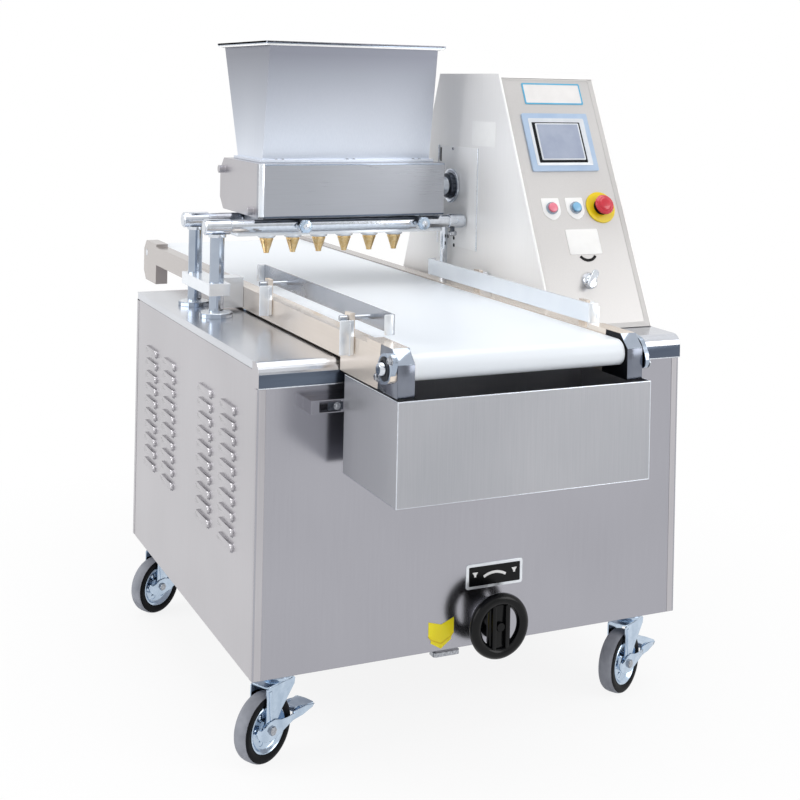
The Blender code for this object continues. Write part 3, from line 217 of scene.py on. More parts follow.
bar_steel = polished_bar("stainless bar polished", "#DCE1E8", "#CFD4DC", 0.1)
plate_steel = polished_bar("stainless plate polished", "#EEF2F7", "#E8EDF3", 0.22, patch=60 * MM, metallic=0.6)
# The left guide gets a darker copy of the guide plate steel: painted shade, while the right guide stays bright.
left_guide_painted_shade_steel = polished_bar("stainless plate, darker copy painted shade", "#B9BDC5", "#AFB4BC", 0.24, patch=60 * MM)
column_steel = polished_bar("stainless column ground", "#AEB7C4", "#A3ADBB", 0.1, patch=60 * MM)
rim_steel = polished_bar("stainless rim rolled", "#AEB9C8", "#A2AEBE", 0.16, patch=60 * MM)
zinc_plate = polished_bar("mild steel bright zinc plated", "#C3D3E4", "#AFC0D3", 0.17, patch=22 * MM)
screw_steel = polished_bar("stainless screw turned", "#B9BCC2", "#8E9197", 0.22, patch=4 * MM)
brass = polished_bar("brass turned", "#EBCF9E", "#DDB87C", 0.2, patch=6 * MM)
# A grey copy of the plate steel, used for painted shade in the louvre slots and on the conveyor's end plate faces.
painted_shade_grey_steel = polished_bar("stainless plate, painted shade grey", "#858A95", "#747985", 0.2, patch=60 * MM)
gasket_steel = polished_bar("steel browned", "#3A3D44", "#272A30", 0.3, patch=5 * MM)
dark_steel = polished_bar("steel blackened in oil", "#5A5E66", "#3C4048", 0.3, patch=5 * MM)
print("bar finishes ready")

# %% [markdown]
# ## Plastics, rubber and the belt
# None of these is a flat colour in life. Moulded plastic has a faint pebble from the mould,
# about 0.5 mm across, rubber has a coarser one and picks up dust, and the belt is a woven
# carcass under a coat of white polyurethane, whose 1.5 mm weave just shows through.


# %% Moulded and coated finishes
def moulded(name, tint, shade, roughness, grain=0.5 * MM, bump=0.1, coat=0.0, gloss=0.5):
    material, tree, shader = new_finish(name, roughness, ior=1.5)
    shader.inputs["Coat Weight"].default_value = coat
    shader.inputs["Specular IOR Level"].default_value = gloss
    place = add_node(tree, "ShaderNodeTexCoord").outputs["Object"]
    pebble = add_node(tree, "ShaderNodeTexNoise", {"Vector": place, "Scale": 1 / grain, "Detail": 2.0}).outputs[0]
    dust = add_node(tree, "ShaderNodeTexNoise", {"Vector": place, "Scale": 25.0, "Detail": 3.0}).outputs[0]
    ramp = add_node(tree, "ShaderNodeValToRGB", {"Fac": dust})
    ramp.color_ramp.elements[0].position = 0.35
    ramp.color_ramp.elements[0].color = linear(shade)
    ramp.color_ramp.elements[1].position = 0.65
    ramp.color_ramp.elements[1].color = linear(tint)
    tree.links.new(ramp.outputs[0], shader.inputs["Base Color"])
    relief = add_node(tree, "ShaderNodeBump", {"Height": pebble, "Strength": bump, "Distance": 0.2 * MM})
    tree.links.new(relief.outputs[0], shader.inputs["Normal"])
    return material


phenolic = moulded("phenolic moulded black", "#08090C", "#040506", 0.2, gloss=0.22)
tread_rubber = moulded("rubber tread grey", "#9C9FA8", "#83868F", 0.6, grain=2 * MM, bump=0.5, gloss=0.3)
side_rubber = moulded("rubber sidewall black", "#0D0F14", "#08090C", 0.45, grain=1 * MM, bump=0.2, gloss=0.1)
bezel_abs = moulded("abs moulded pale blue", "#B4C8E0", "#A8BEDA", 0.3)
screen_acrylic = moulded("acrylic screen switched off", "#A7B0C4", "#9CA6BC", 0.12, bump=0.0, coat=0.5)
frame_abs = moulded("abs moulded pale grey", "#E4E8EE", "#D9DEE5", 0.25)
gasket = moulded("rubber gasket black", "#12141A", "#0B0C10", 0.5, gloss=0.15)
label_film = moulded("polyester label white", "#FAFAF9", "#F5F5F4", 0.35, bump=0.03)
blue_ink = moulded("polyester label printed blue", "#5FB4DA", "#56ABD2", 0.35, bump=0.03)
black_ink = moulded("anodised label printed black", "#08090B", "#050608", 0.25, bump=0.03, gloss=0.2)
name_film = moulded("polyester label pale grey", "#EDEBEA", "#E7E5E4", 0.35, bump=0.03)
yellow_vinyl = moulded("vinyl label yellow", "#FFF01A", "#FFEA0C", 0.4, bump=0.05)
yellow_abs = moulded("abs moulded yellow", "#F2D612", "#E6C90A", 0.35)
red_abs = moulded("abs moulded red", "#D9203A", "#C4152E", 0.22, coat=0.4)
red_lens = moulded("polycarbonate lens rose", "#F08A9C", "#E87C90", 0.15, coat=0.4)
blue_lens = moulded("polycarbonate lens blue", "#86BEE2", "#79B2D8", 0.15, coat=0.4)
acetal = moulded("acetal turned white", "#F0EFEC", "#E6E5E2", 0.4)
enamel = moulded("enamel sprayed grey", "#59636B", "#4C565E", 0.35, bump=0.2)


def coated_belt(name, tint, shade, weave=1.5 * MM):
    material, tree, shader = new_finish(name, 0.32, ior=1.5)
    place = add_node(tree, "ShaderNodeTexCoord").outputs["Object"]
    waves = []
    for direction in ("X", "Y"):
        waves.append(add_node(tree, "ShaderNodeTexWave", {"Vector": place, "Scale": 0.3 / weave},
                              wave_type="BANDS", bands_direction=direction).outputs[1])
    cloth = add_node(tree, "ShaderNodeMath", {0: waves[0], 1: waves[1]}, operation="MULTIPLY").outputs[0]
    patches = add_node(tree, "ShaderNodeTexNoise", {"Vector": place, "Scale": 3.0, "Detail": 2.0}).outputs[0]
    ramp = add_node(tree, "ShaderNodeValToRGB", {"Fac": patches})
    ramp.color_ramp.elements[0].color = linear(shade)
    ramp.color_ramp.elements[1].color = linear(tint)
    tree.links.new(ramp.outputs[0], shader.inputs["Base Color"])
    relief = add_node(tree, "ShaderNodeBump", {"Height": cloth, "Strength": 0.06, "Distance": 0.1 * MM})
    tree.links.new(relief.outputs[0], shader.inputs["Normal"])
    return material


belt_coat = coated_belt("polyurethane belt white", "#F7FBFF", "#F0F7FF")
print("plastic, rubber and belt finishes ready")

# %% [markdown]
# ## Dressing the solid pieces
# Most of the solids have the right shape already, so they only change material. The table
# pairs each finish with its pieces. Anything the table forgets would keep its plain
# material, so the last line checks that nothing was missed.

# %% Finishes on the solids
corners = ("front_left", "front_right", "rear_left", "rear_right")
finishes = {
    cabinet_sheet: ["left_panel", "right_panel", "rear_panel", "base_pan", "pump_cap_left"],
    front_sheet: ["front_panel"],
    box_sheet: ["catch_box"],
    deck_sheet: ["top_deck", "slider_bed"],
    channel_sheet: ["channel_left", "channel_right"],
    hopper_painted_reflection_sheet: ["hopper"],
    pump_sheet: ["pump_body", "pump_cap_right", "pump_front_cover"],
    tower_painted_light_sheet: ["tower_housing"],
    face_sheet: ["control_panel"],
    painted_highlight_sheet: ["drive_cover"],
    column_steel: ["column_front", "column_rear"],
    bar_steel: ["head_rail_front", "head_rail_rear", "head_post_right",
                "belt_roller_front", "belt_roller_rear", "drive_coupling", "clamp_knob_left",
                "clamp_knob_right", "selector_handle"],
    left_guide_painted_shade_steel: ["guide_rail_left"],
    plate_steel: ["guide_rail_right", "slide_block", "rail_block_left",
                  "rail_block_right"],
    screw_steel: ["lock_lever"],
    zinc_plate: ["lift_screw", "lift_yoke"] + [f"caster_fork_{c}" for c in corners]
                + [f"caster_pedal_{c}" for c in corners],
    side_rubber: [f"caster_wheel_{c}" for c in corners],
    phenolic: ["handwheel"],
    belt_coat: ["conveyor_belt"],
    acetal: ["feed_roller_front", "feed_roller_rear", "nozzle_manifold"],
    bezel_abs: ["touch_screen"],
    red_lens: ["start_button"],
    blue_lens: ["stop_button"],
    red_abs: ["estop_button"],
    yellow_abs: ["estop_ring"],
    enamel: ["drive_gearmotor"],
}
for finish, names in finishes.items():
    for name in names:
        slots = nodes[name].material_slots
        for place in slots:
            place.material = finish
        if not slots:
            nodes[name].data.materials.append(finish)
dressed = {name for names in finishes.values() for name in names}
print("solids without a finish:", sorted(set(nodes) - dressed))

# %% [markdown]
# ## Making small pieces
# Three kinds of shape cover the details: something turned on a lathe, something cut from
# plate, and a ring of plate with a window in it. Each is built once as a mesh around its
# own frame, gets a small bevel so that its edges catch light, and then rides on the body
# that carries it.


# %% Makers for turned and plate pieces
def finish_piece(name, bm, material, body):
    bmesh.ops.recalc_face_normals(bm, faces=bm.faces)
    mesh = bpy.data.meshes.new(name)
    bm.to_mesh(mesh)
    bm.free()
    mesh.shade_smooth()
    mesh.set_sharp_from_angle(angle=math.radians(40))
    mesh.materials.append(material)
    piece = bpy.data.objects.new(name, mesh)
    bpy.context.scene.collection.objects.link(piece)
    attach(piece, body)
    return piece


def mm(*points):
    return [tuple(value * MM for value in point) for point in points]


def add_turned(bm, profile, frame_matrix, sides=32, angle_from=0.0):
    rings = []
    for radius, along in profile:
        if radius == 0:
            rings.append([bm.verts.new(frame_matrix @ Vector((0, 0, along)))])
            continue
        ring = []
        for i in range(sides):
            turn = angle_from + 2 * math.pi * i / sides
            ring.append(bm.verts.new(frame_matrix @ Vector((radius * math.cos(turn), radius * math.sin(turn),
                                                            along))))
        rings.append(ring)
    for near, far in zip(rings, rings[1:]):
        for i in range(sides):
            j = (i + 1) % sides
            if len(near) == 1:
                bm.faces.new((near[0], far[j], far[i]))
            elif len(far) == 1:
                bm.faces.new((near[i], near[j], far[0]))
            else:
                bm.faces.new((near[i], near[j], far[j], far[i]))


def turned(name, profile, frame_matrix, material, body="root", sides=32):
    bm = bmesh.new()
    add_turned(bm, profile, frame_matrix, sides)
    return finish_piece(name, bm, material, body)


def add_plate(bm, outline, thickness, frame_matrix, bevel=0.0, foot=0.0):
    low = [bm.verts.new(frame_matrix @ Vector((x, y, foot))) for x, y in outline]
    high = [bm.verts.new(frame_matrix @ Vector((x, y, foot + thickness))) for x, y in outline]
    count = len(outline)
    faces = [bm.faces.new(list(reversed(low))), bm.faces.new(high)]
    for i in range(count):
        j = (i + 1) % count
        faces.append(bm.faces.new((low[i], low[j], high[j], high[i])))
    if bevel:
        rim = list(faces[1].edges)
        bmesh.ops.bevel(bm, geom=rim, offset=bevel, segments=2, affect="EDGES", profile=0.5)


def plate(name, outline, thickness, frame_matrix, material, body="root", bevel=0.0, foot=0.0):
    bm = bmesh.new()
    add_plate(bm, outline, thickness, frame_matrix, bevel, foot)
    return finish_piece(name, bm, material, body)


def rounded(width, height, radius, steps=4, centre=(0, 0)):
    outline = []
    for i, (sx, sy) in enumerate(((1, 1), (-1, 1), (-1, -1), (1, -1))):
        for step in range(steps + 1):
            turn = math.pi / 2 * (i + step / steps)
            outline.append((centre[0] + sx * (width / 2 - radius) + radius * math.cos(turn),
                            centre[1] + sy * (height / 2 - radius) + radius * math.sin(turn)))
    return outline


def window_ring(name, outer, inner, thickness, frame_matrix, material, body="root",
                rise=0.0, foot=0.0):
    # The window's edge may sit higher or lower than the outer edge, which gives a sloped rim
    bm = bmesh.new()
    rows = []
    for outline, height in ((outer, foot), (outer, foot + thickness), (inner, foot + thickness + rise), (inner,
                                                                                                         foot)):
        rows.append([bm.verts.new(frame_matrix @ Vector((x, y, height))) for x, y in outline])
    count = len(outer)
    for near, far in zip(rows, rows[1:] + rows[:1]):
        for i in range(count):
            j = (i + 1) % count
            bm.faces.new((near[i], near[j], far[j], far[i]))
    return finish_piece(name, bm, material, body)


def circle(radius, sides=24, centre=(0, 0)):
    return [(centre[0] + radius * math.cos(2 * math.pi * i / sides),
             centre[1] + radius * math.sin(2 * math.pi * i / sides)) for i in range(sides)]


# %% [markdown]
# ## Screws
# Screws make a machine look like one. A hexagon head is a six-sided plate with a turned
# chamfer on top, and a button head is a turned dome with a socket. A real socket is a
# hole, so the dome's profile simply dips in its middle.


# %% Screws
def hex_screw(name, point, normal, radius, body="root", up=(0, 0, 1), washer=True):
    spot = facing(point, normal, up)
    bm = bmesh.new()
    if washer:
        add_turned(bm, [(0, 0), (radius * 1.35, 0), (radius * 1.35, radius * 0.2), (0, radius * 0.2)], spot, 24)
    add_plate(bm, circle(radius, 6), radius * 0.7, spot, bevel=radius * 0.12, foot=radius * 0.2)
    return finish_piece(name, bm, screw_steel, body)


def button_screw(name, point, normal, radius, body="root", up=(0, 0, 1), material=None):
    profile = [(0, 0), (radius, 0), (radius, radius * 0.12), (radius * 0.85, radius * 0.4),
               (radius * 0.55, radius * 0.55), (radius * 0.4, radius * 0.58), (radius * 0.36, radius * 0.3),
               (0, radius * 0.3)]
    return turned(name, profile, facing(point, normal, up), material or screw_steel, body, sides=20)


# %% [markdown]
# ## The belt
# The real belt is one loop of coated cloth, pulled tight round a roller at each end. The
# solid model draws it with few facets. Here the loop is swept again with a fine round nose,
# because the nose is the brightest curve in the picture.

# %% Belt
belt_low, belt_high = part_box("conveyor_belt")
nose_radius = (belt_high.z - belt_low.z) / 2
belt_thickness = 2 * MM
nose_steps = 28


def loop(radius):
    centre_z = (belt_high.z + belt_low.z) / 2
    front, rear = belt_low.y + nose_radius, belt_high.y - nose_radius
    points = []
    for middle, first in ((rear, -math.pi / 2), (front, math.pi / 2)):
        for step in range(nose_steps + 1):
            turn = first + math.pi * step / nose_steps
            points.append((middle + radius * math.cos(turn), centre_z + radius * math.sin(turn)))
    return points


bm = bmesh.new()
rows = []
for x, radius in ((belt_low.x, nose_radius - belt_thickness), (belt_low.x, nose_radius - 0.5 * MM),
                  (belt_low.x + 0.5 * MM, nose_radius), (belt_high.x - 0.5 * MM, nose_radius),
                  (belt_high.x, nose_radius - 0.5 * MM), (belt_high.x, nose_radius - belt_thickness)):
    rows.append([bm.verts.new((x, y, z)) for y, z in loop(radius)])
for near, far in zip(rows, rows[1:] + rows[:1]):
    for i in range(len(near)):
        j = (i + 1) % len(near)
        bm.faces.new((near[i], near[j], far[j], far[i]))
belt = finish_piece("belt_loop", bm, belt_coat, "conveyor")
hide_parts("conveyor_belt")
print("belt nose radius in mm:", round(nose_radius / MM, 1))

# %% [markdown]
# ## Nozzles and their plate
# Six brass nozzles hang from a steel plate, each held by a collar. Brass is turned on a
# lathe, so the profile is all there is to say: a shoulder, a long taper and a lip with
# a bore. The slim plate above them slides in under the pump, and its ends show.

# %% Nozzle plate, manifold and nozzles
manifold_low, manifold_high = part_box("nozzle_manifold")
plate_foot, plate_height = 0.906, 8 * MM
nozzle_y, nozzle_pitch, first_nozzle = 0.575, 62.5 * MM, 0.212
plate_middle = at(0, 0, 0).lerp(at(0.745, 0, 0), 0.5)
plate_matrix = Matrix.Translation((plate_middle.x, (manifold_low.y + manifold_high.y) / 2, plate_foot))
nozzle_plate = plate("nozzle_plate", rounded(manifold_high.x - manifold_low.x, manifold_high.y - manifold_low.y,
                                             3 * MM),
                     plate_height, plate_matrix, plate_steel, bevel=1 * MM)
block_foot = plate_foot + plate_height - 0.5 * MM
block_matrix = Matrix.Translation((at(0.368, 0, 0).x, (manifold_low.y + manifold_high.y) / 2, block_foot))
manifold_block = plate("manifold_block", rounded(0.372, manifold_high.y - manifold_low.y - 8 * MM, 4 * MM),
                       manifold_high.z - block_foot, block_matrix, pump_sheet, bevel=1 * MM)
nozzle_pieces = [nozzle_plate, manifold_block]
for i in range(6):
    hang = facing(at(first_nozzle + i * nozzle_pitch, nozzle_y, plate_foot), (0, 0, -1), (0, 1, 0))
    collar = turned(f"nozzle_collar_{i + 1}", mm((0, -1), (20, -1), (20.5, 0), (20.5, 7), (19.5, 9), (16.5, 11),
                                                 (0, 11)),
                    hang, plate_steel, sides=40)
    cone = turned(f"nozzle_{i + 1}", mm((0, 9), (15.5, 9), (15.5, 15), (14.5, 17), (6.6, 41), (6.4, 44.5), (5.2,
                                                                                                            45),
                                        (3.5, 44.5), (3, 36), (0, 36)),
                  hang, brass, sides=40)
    nozzle_pieces += [collar, cone]
for piece in nozzle_pieces:
    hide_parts("nozzle_manifold")
print("nozzles:", 6)

# %% [markdown]
# ## Casters
# Each caster is a pressed zinc fork round a rubber wheel on a pressed rim. The tread is
# lighter grey than the black sidewalls, so the tyre is two pieces. The rim is dished
# and has six pressed pockets round its hub, and a nut holds the axle.

# %% Caster wheels
wheel_radius, rim_radius = 62.5 * MM, 44 * MM
half_wheel = 16 * MM
wheel_trail, caster_heading = 38 * MM, math.radians(28)
caster_frames = {}
for name in corners:
    # A caster's frame: the wheel rolls along its X, trails towards -X, and turns about the king pin
    low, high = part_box(f"caster_wheel_{name}")
    turn = Matrix.Rotation(caster_heading, 4, "Z")
    king_pin = (low + high) / 2 + turn @ Vector((wheel_trail, 0, 0))
    king_pin.z = 0
    caster_frames[name] = Matrix.Translation(king_pin) @ turn


def on_caster(name, point, normal, up=(0, 0, 1)):
    return caster_frames[name] @ facing(point, normal, up)


for name in corners:
    for side in (1, -1):
        spot = on_caster(name, (-wheel_trail, 0, wheel_radius), (0, side, 0))
        wall = [(rim_radius, 10 * MM), (rim_radius + 1 * MM, 13.5 * MM), (rim_radius + 6 * MM, half_wheel),
                (wheel_radius - 6 * MM, half_wheel), (wheel_radius - 2.4 * MM, half_wheel - 1.6 * MM),
                (wheel_radius - 2.8 * MM, 10 * MM), (rim_radius, 8 * MM), (rim_radius, 10 * MM)]
        turned(f"tyre_wall_{name}_{'right' if side > 0 else 'left'}", wall, spot, side_rubber, f"wheel_{name}",
               64)
        disc = mm((0, 4), (14, 4), (14, 13), (15, 14), (17, 13), (19, 8), (34, 8), (38, 10), (40, 14), (43, 15.6),
                  (44.6, 14.4), (44, 7), (44, 2), (0, 2))
        bm = bmesh.new()
        add_turned(bm, disc, spot, 64)
        for pocket in range(6):
            turn = math.radians(60 * pocket)
            hole = spot @ Matrix.Translation((26.5 * MM * math.cos(turn), 26.5 * MM * math.sin(turn), 7 * MM))
            add_turned(bm, mm((0, 2.6), (4.5, 2.4), (6.5, 0.8), (6.8, 0), (0, 0)), hole, 16)
        finish_piece(f"rim_{name}_{'right' if side > 0 else 'left'}", bm, zinc_plate, f"wheel_{name}")
    spot = on_caster(name, (-wheel_trail, 0, wheel_radius), (0, 1, 0))
    tread = [(rim_radius + 2 * MM, -13 * MM), (wheel_radius - 2.6 * MM, -half_wheel + 1.4 * MM),
             (wheel_radius - 0.8 * MM, -11 * MM), (wheel_radius, -6 * MM), (wheel_radius, 6 * MM),
             (wheel_radius - 0.8 * MM, 11 * MM), (wheel_radius - 2.6 * MM, half_wheel - 1.4 * MM),
             (rim_radius + 2 * MM, 13 * MM), (rim_radius + 2 * MM, -13 * MM)]
    tyre = turned(f"tyre_tread_{name}", tread, spot, tread_rubber, f"wheel_{name}", 72)
    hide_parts(f"caster_wheel_{name}")

# %% Forks, king pins and brake levers
fork_leg_y, fork_sheet = 20 * MM, 2.5 * MM
fork_top = 141 * MM
leg = [(-50, 138), (-44, 141.5), (22, 141.5), (26, 138), (24, 128), (-10, 92), (-24, 72), (-26, 60), (-31, 53),
       (-38, 50.5),
       (-45, 53), (-50, 60), (-51, 70)]
leg = [(x * MM, z * MM) for x, z in reversed(leg)]
rib = [(-45, 134), (-38, 134), (-34, 100), (-35, 80), (-41, 80), (-43, 100)]
rib = [(x * MM, z * MM) for x, z in reversed(rib)]
lever = [(38, -15), (46, -17), (60, -19), (78, -22), (80, -20), (81, 0), (80, 20), (78, 22), (60, 19), (46, 17),
         (38, 15)]
lever = [(x * MM, y * MM) for x, y in lever]
shoe = [(-78, 69), (-75, 61), (-68, 53), (-54, 46), (-34, 44), (-14, 50), (6, 57), (24, 62), (24, 74), (4, 72),
        (-14, 74),
        (-28, 80), (-46, 79), (-58, 72), (-67, 70), (-73, 76)]
shoe = [(x * MM, z * MM) for x, z in shoe]
tail = [(22, 60), (48, 61), (76, 66), (82, 71), (58, 75), (22, 76)]
tail = [(x * MM, (z - 72) * MM) for x, z in tail]
for name in corners:
    body = f"swivel_{name}"
    bm = bmesh.new()
    for side in (1, -1):
        # Seen from outside, the leg's X runs to the right on one side and to the left on the other
        spot = caster_frames[name] @ Matrix(((1, 0, 0, 0), (0, 0, -1, -side * fork_leg_y), (0, 1, 0, 0), (0, 0, 0,
                                                                                                          1)))
        add_plate(bm, leg, fork_sheet, spot, foot=-fork_sheet / 2)
        add_plate(bm, rib, 1.6 * MM, spot, bevel=1.2 * MM,
                  foot=(fork_sheet / 2 if side > 0 else -fork_sheet / 2 - 1.6 * MM))
    bridge = rounded(76 * MM, 2 * fork_leg_y + fork_sheet, 8 * MM, centre=(-12 * MM, 0))
    add_plate(bm, bridge, 3 * MM, caster_frames[name], bevel=1 * MM, foot=fork_top - 1 * MM)
    add_turned(bm, mm((0, 142), (24, 142), (28, 145), (29, 149), (27, 153), (20, 156), (20, 160.5), (0, 160.5)),
               caster_frames[name], 48)
    add_turned(bm, mm((0, 134), (7, 134), (8, 136), (8, 142), (0, 142)),
               caster_frames[name], 6)
    fork = finish_piece(f"fork_{name}", bm, zinc_plate, body)
    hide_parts(f"caster_fork_{name}")
    for side in (1, -1):
        spot = on_caster(name, (-wheel_trail, side * (fork_leg_y + fork_sheet / 2), wheel_radius), (0, side, 0))
        bm = bmesh.new()
        add_turned(bm, mm((0, 0), (12, 0), (12, 1.6), (0, 1.6)), spot, 24)
        add_plate(bm, circle(8.5 * MM, 6), 6 * MM, spot, bevel=1 * MM, foot=1.6 * MM)
        finish_piece(f"axle_nut_{name}_{'right' if side > 0 else 'left'}", bm, screw_steel, body)
        # The brake's fixed shoe plate stands on the axle bolt, outside the fork leg
        spot = caster_frames[name] @ Matrix(((1, 0, 0, 0), (0, 0, -1, -side * 23 * MM), (0, 1, 0, 0), (0, 0, 0, 1)))
        bm = bmesh.new()
        add_plate(bm, shoe, 2 * MM, spot, bevel=0.8 * MM, foot=-1 * MM)
        finish_piece(f"brake_shoe_{name}_{'right' if side > 0 else 'left'}", bm, zinc_plate, body)
    bm = bmesh.new()
    plan = caster_frames[name] @ Matrix.Translation((0, 0, 72 * MM))
    add_plate(bm, lever, 3 * MM, plan, bevel=1.2 * MM)
    for side in (1, -1):
        # The lever's two cheeks reach forward from its pin, just inside the fork
        cheek = [(26, -7), (33, -9), (44, -6), (62, 0.5), (62, 2.5), (38, 7), (30, 7)]
        spot = plan @ Matrix(((1, 0, 0, 0), (0, 0, -1, -side * 15.6 * MM), (0, 1, 0, 0), (0, 0, 0, 1)))
        add_plate(bm, [(x * MM, z * MM) for x, z in reversed(cheek)], 2 * MM, spot, foot=-1 * MM)
        spot = plan @ Matrix(((1, 0, 0, 0), (0, 0, -1, -side * 21.5 * MM), (0, 1, 0, 0), (0, 0, 0, 1)))
        add_plate(bm, tail, 2 * MM, spot, bevel=0.8 * MM, foot=-1 * MM)
    pin = plan @ facing((33 * MM, -18 * MM, 2 * MM), (0, 1, 0))
    add_turned(bm, mm((0, 0), (5.6, 0), (5.6, 36), (0, 36)), pin, 20)
    pedal = finish_piece(f"brake_lever_{name}", bm, zinc_plate, f"pedal_{name}")
    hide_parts(f"caster_pedal_{name}")
print("casters dressed:", len(corners))

# %% [markdown]
# ## The handwheel
# The handwheel is moulded black phenolic: a round rim, a dished web with two openings for
# the fingers, and two ribs down its middle. A rim is a ring whose section is a circle, so
# it is swept round with bmesh, and the web is a plate with the openings left out of its
# outline.

# %% Handwheel
wheel_low, wheel_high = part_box("handwheel")
hub = at(0.475, 0, 0.217)
wheel_face = wheel_low.y
knob_radius, knob_rim = 62.5 * MM, 11.5 * MM
hand_spot = facing(Vector((hub.x, wheel_face, hub.z)), (0, -1, 0))


def ring_profile(big, small, depth, steps=16):
    points = []
    for step in range(steps + 1):
        turn = 2 * math.pi * step / steps
        points.append((big + small * math.cos(turn), depth + small * math.sin(turn)))
    return points


bm = bmesh.new()
add_turned(bm, ring_profile(knob_radius - knob_rim, knob_rim, -knob_rim), hand_spot, 72)
web_half = 23 * MM
bow = knob_radius - 1.5 * knob_rim
side_turn = math.acos(web_half / bow)
web = [(bow * math.sin(a), bow * math.cos(a)) for a in
       [-(math.pi / 2 - side_turn) + (math.pi - 2 * side_turn) * s / 10 for s in range(11)]]
web += [(-x, -y) for x, y in web]
add_plate(bm, web, 10 * MM, hand_spot, bevel=1.5 * MM, foot=-18 * MM)
for rib in (-1, 1):
    add_plate(bm, rounded(9 * MM, 84 * MM, 4 * MM, centre=(rib * 14 * MM, 0)), 7 * MM, hand_spot, bevel=2 * MM,
              foot=-9 * MM)
add_turned(bm, mm((0, -3), (8, -3), (9, -5), (9, -12), (0, -12)), hand_spot, 32)
add_turned(bm, [(0, -12 * MM), (17 * MM, -12 * MM), (17 * MM, -(wheel_high.y - wheel_face)), (0,
                                                                                              -(wheel_high.y - wheel_face))],
           hand_spot, 40)
wheel = finish_piece("handwheel_moulding", bm, phenolic, "handwheel")
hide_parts("handwheel")
print("handwheel radius in mm:", knob_radius / MM)

# %% [markdown]
# ## The legend plates on the front
# A black anodised plate over the handwheel has a silver edge, an arc and a small mark for
# each way to turn. The yellow plate beside it is a plain pointer. Both lie on the sheet,
# so each is a thin plate that stands on the front face.

# %% Front legend plates
front_y = 0.0


def front_spot(x, z, lift=0.0):
    return facing(at(x, front_y - lift, z), (0, -1, 0))


plate("turn_plate_edge", rounded(0.124, 0.048, 5 * MM), 1.2 * MM, front_spot(0.4915, 0.297), plate_steel,
      bevel=0.4 * MM)
plate("turn_plate", rounded(0.112, 0.037, 2 * MM), 0.5 * MM, front_spot(0.4915, 0.297, 1.2 * MM), black_ink)
arc = []
for radius, turns in ((44 * MM, range(-8, 9)), (49 * MM, range(8, -9, -1))):
    arc += [(radius * math.sin(math.radians(3.9 * t)),
             radius * math.cos(math.radians(3.9 * t)) - 42 * MM) for t in turns]
plate("turn_arc", arc, 0.4 * MM, front_spot(0.4915, 0.297, 1.7 * MM), label_film)
for side in (-1, 1):
    mark = mm((-6, 5), (6, 5), (2, -1), (2, -4), (-2, -4), (-2, -1))
    plate(f"turn_mark_{'left' if side < 0 else 'right'}", list(reversed(mark)), 0.4 * MM,
          front_spot(0.4915 + side * 0.043, 0.300, 1.7 * MM), label_film)
pointer = mm((-27, 21), (0, 13), (27, 24), (27, -4), (21, -14), (22, -17), (0, -33), (-22, -20), (-21, -16),
             (-27, -7))
plate("pointer_plate", list(reversed(pointer)), 0.8 * MM, front_spot(0.378, 0.2015), yellow_vinyl,
      bevel=0.3 * MM)
band = mm((-27, -6), (-22, -12), (0, -22), (22, -9), (27, -3), (27, -5), (22, -11.5), (0, -24.5), (-22, -14.5),
          (-27, -8))
plate("pointer_band", list(reversed(band)), 0.4 * MM, front_spot(0.378, 0.2015, 0.9 * MM), yellow_abs)

# %% [markdown]
# ## Folds, hems and seams
# Sheet metal gives itself away at its edges: each sheet is folded back at a rim, and the
# fold is rubbed bright. The cabinet's upright corners are folded round, the deck's front
# fold drops as a lip painted dark (painted reflection of the dark room, and painted shade),
# the catch box has a bright hem and welded corners, and the hopper's flange is rolled. The
# bright ring under the hopper's hem is a painted highlight.


# %% Folded edges
def folded_corner(name, x, y, out_x, out_y, low_z, high_z, material, radius=7 * MM, wing=16 * MM):
    # The outline is the fold seen from above, drawn in a frame whose Z is up
    outer, inner = [], []
    skin = 0.7 * MM
    for step in range(9):
        turn = math.pi / 2 * step / 8
        across, ahead = 1 - math.cos(turn), 1 - math.sin(turn)
        outer.append((out_x * (skin - radius * across), out_y * (skin - radius * ahead)))
        inner.append((out_x * (-0.3 * MM - radius * across), out_y * (-0.3 * MM - radius * ahead)))
    outline = [(out_x * skin, -out_y * wing)] + outer + [(-out_x * wing, out_y * skin)]
    outline += [(-out_x * wing, -out_y * 0.3 * MM)] + list(reversed(inner)) + [(-out_x * 0.3 * MM, -out_y * wing)]
    return plate(name, outline, high_z - low_z, Matrix.Translation(at(x, y, low_z)), material)


for name, x, y, out_x, out_y in (("front_left", 0, 0, -1, -1), ("front_right", 0.915, 0, 1, -1),
                                 ("rear_left", 0, 0.885, -1, 1), ("rear_right", 0.915, 0.885, 1, 1)):
    folded_corner(f"cabinet_corner_{name}", x, y, out_x, out_y, 0.166, 0.690 if out_y < 0 else 0.720, cabinet_sheet)
# The deck's lip is a thin plate in the painted dark finish: painted reflection and painted shade.
plate("deck_lip", [(0, 0), (0.9148, 0), (0.9148, 25 * MM), (0, 25 * MM)], 0.5 * MM,
      facing(at(0.0001, -6 * MM, 0.6925), (0, -1, 0)), dark_reflection_sheet, bevel=0.2 * MM)
deck_end = mm((30, -46), (30, -1))
for step in range(9):
    turn = math.pi / 2 * (1 + step / 8)
    deck_end.append((16 * MM + 22 * MM * math.cos(turn), -22.3 * MM + 22 * MM * math.sin(turn)))
deck_end.append((-6 * MM, -46 * MM))
for side, x, out in (("left", 0, -1), ("right", 0.915, 1)):
    spot = Matrix(((0, 0, 1, 0), (1, 0, 0, 0), (0, 1, 0, 0), (0, 0, 0, 1)))
    spot.translation = at(x - (0.2 * MM if out < 0 else 0.8 * MM), 0, deck_top)
    plate(f"deck_end_{side}", deck_end, 1 * MM, spot, cabinet_sheet)
plate("deck_lip_edge", [(0, 0), (0.9148, 0), (0.9148, 2 * MM), (0, 2 * MM)], 0.8 * MM,
      facing(at(0.0001, -6 * MM, 0.6915), (0, -1, 0)), bar_steel, bevel=0.3 * MM)

box_low, box_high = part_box("catch_box")


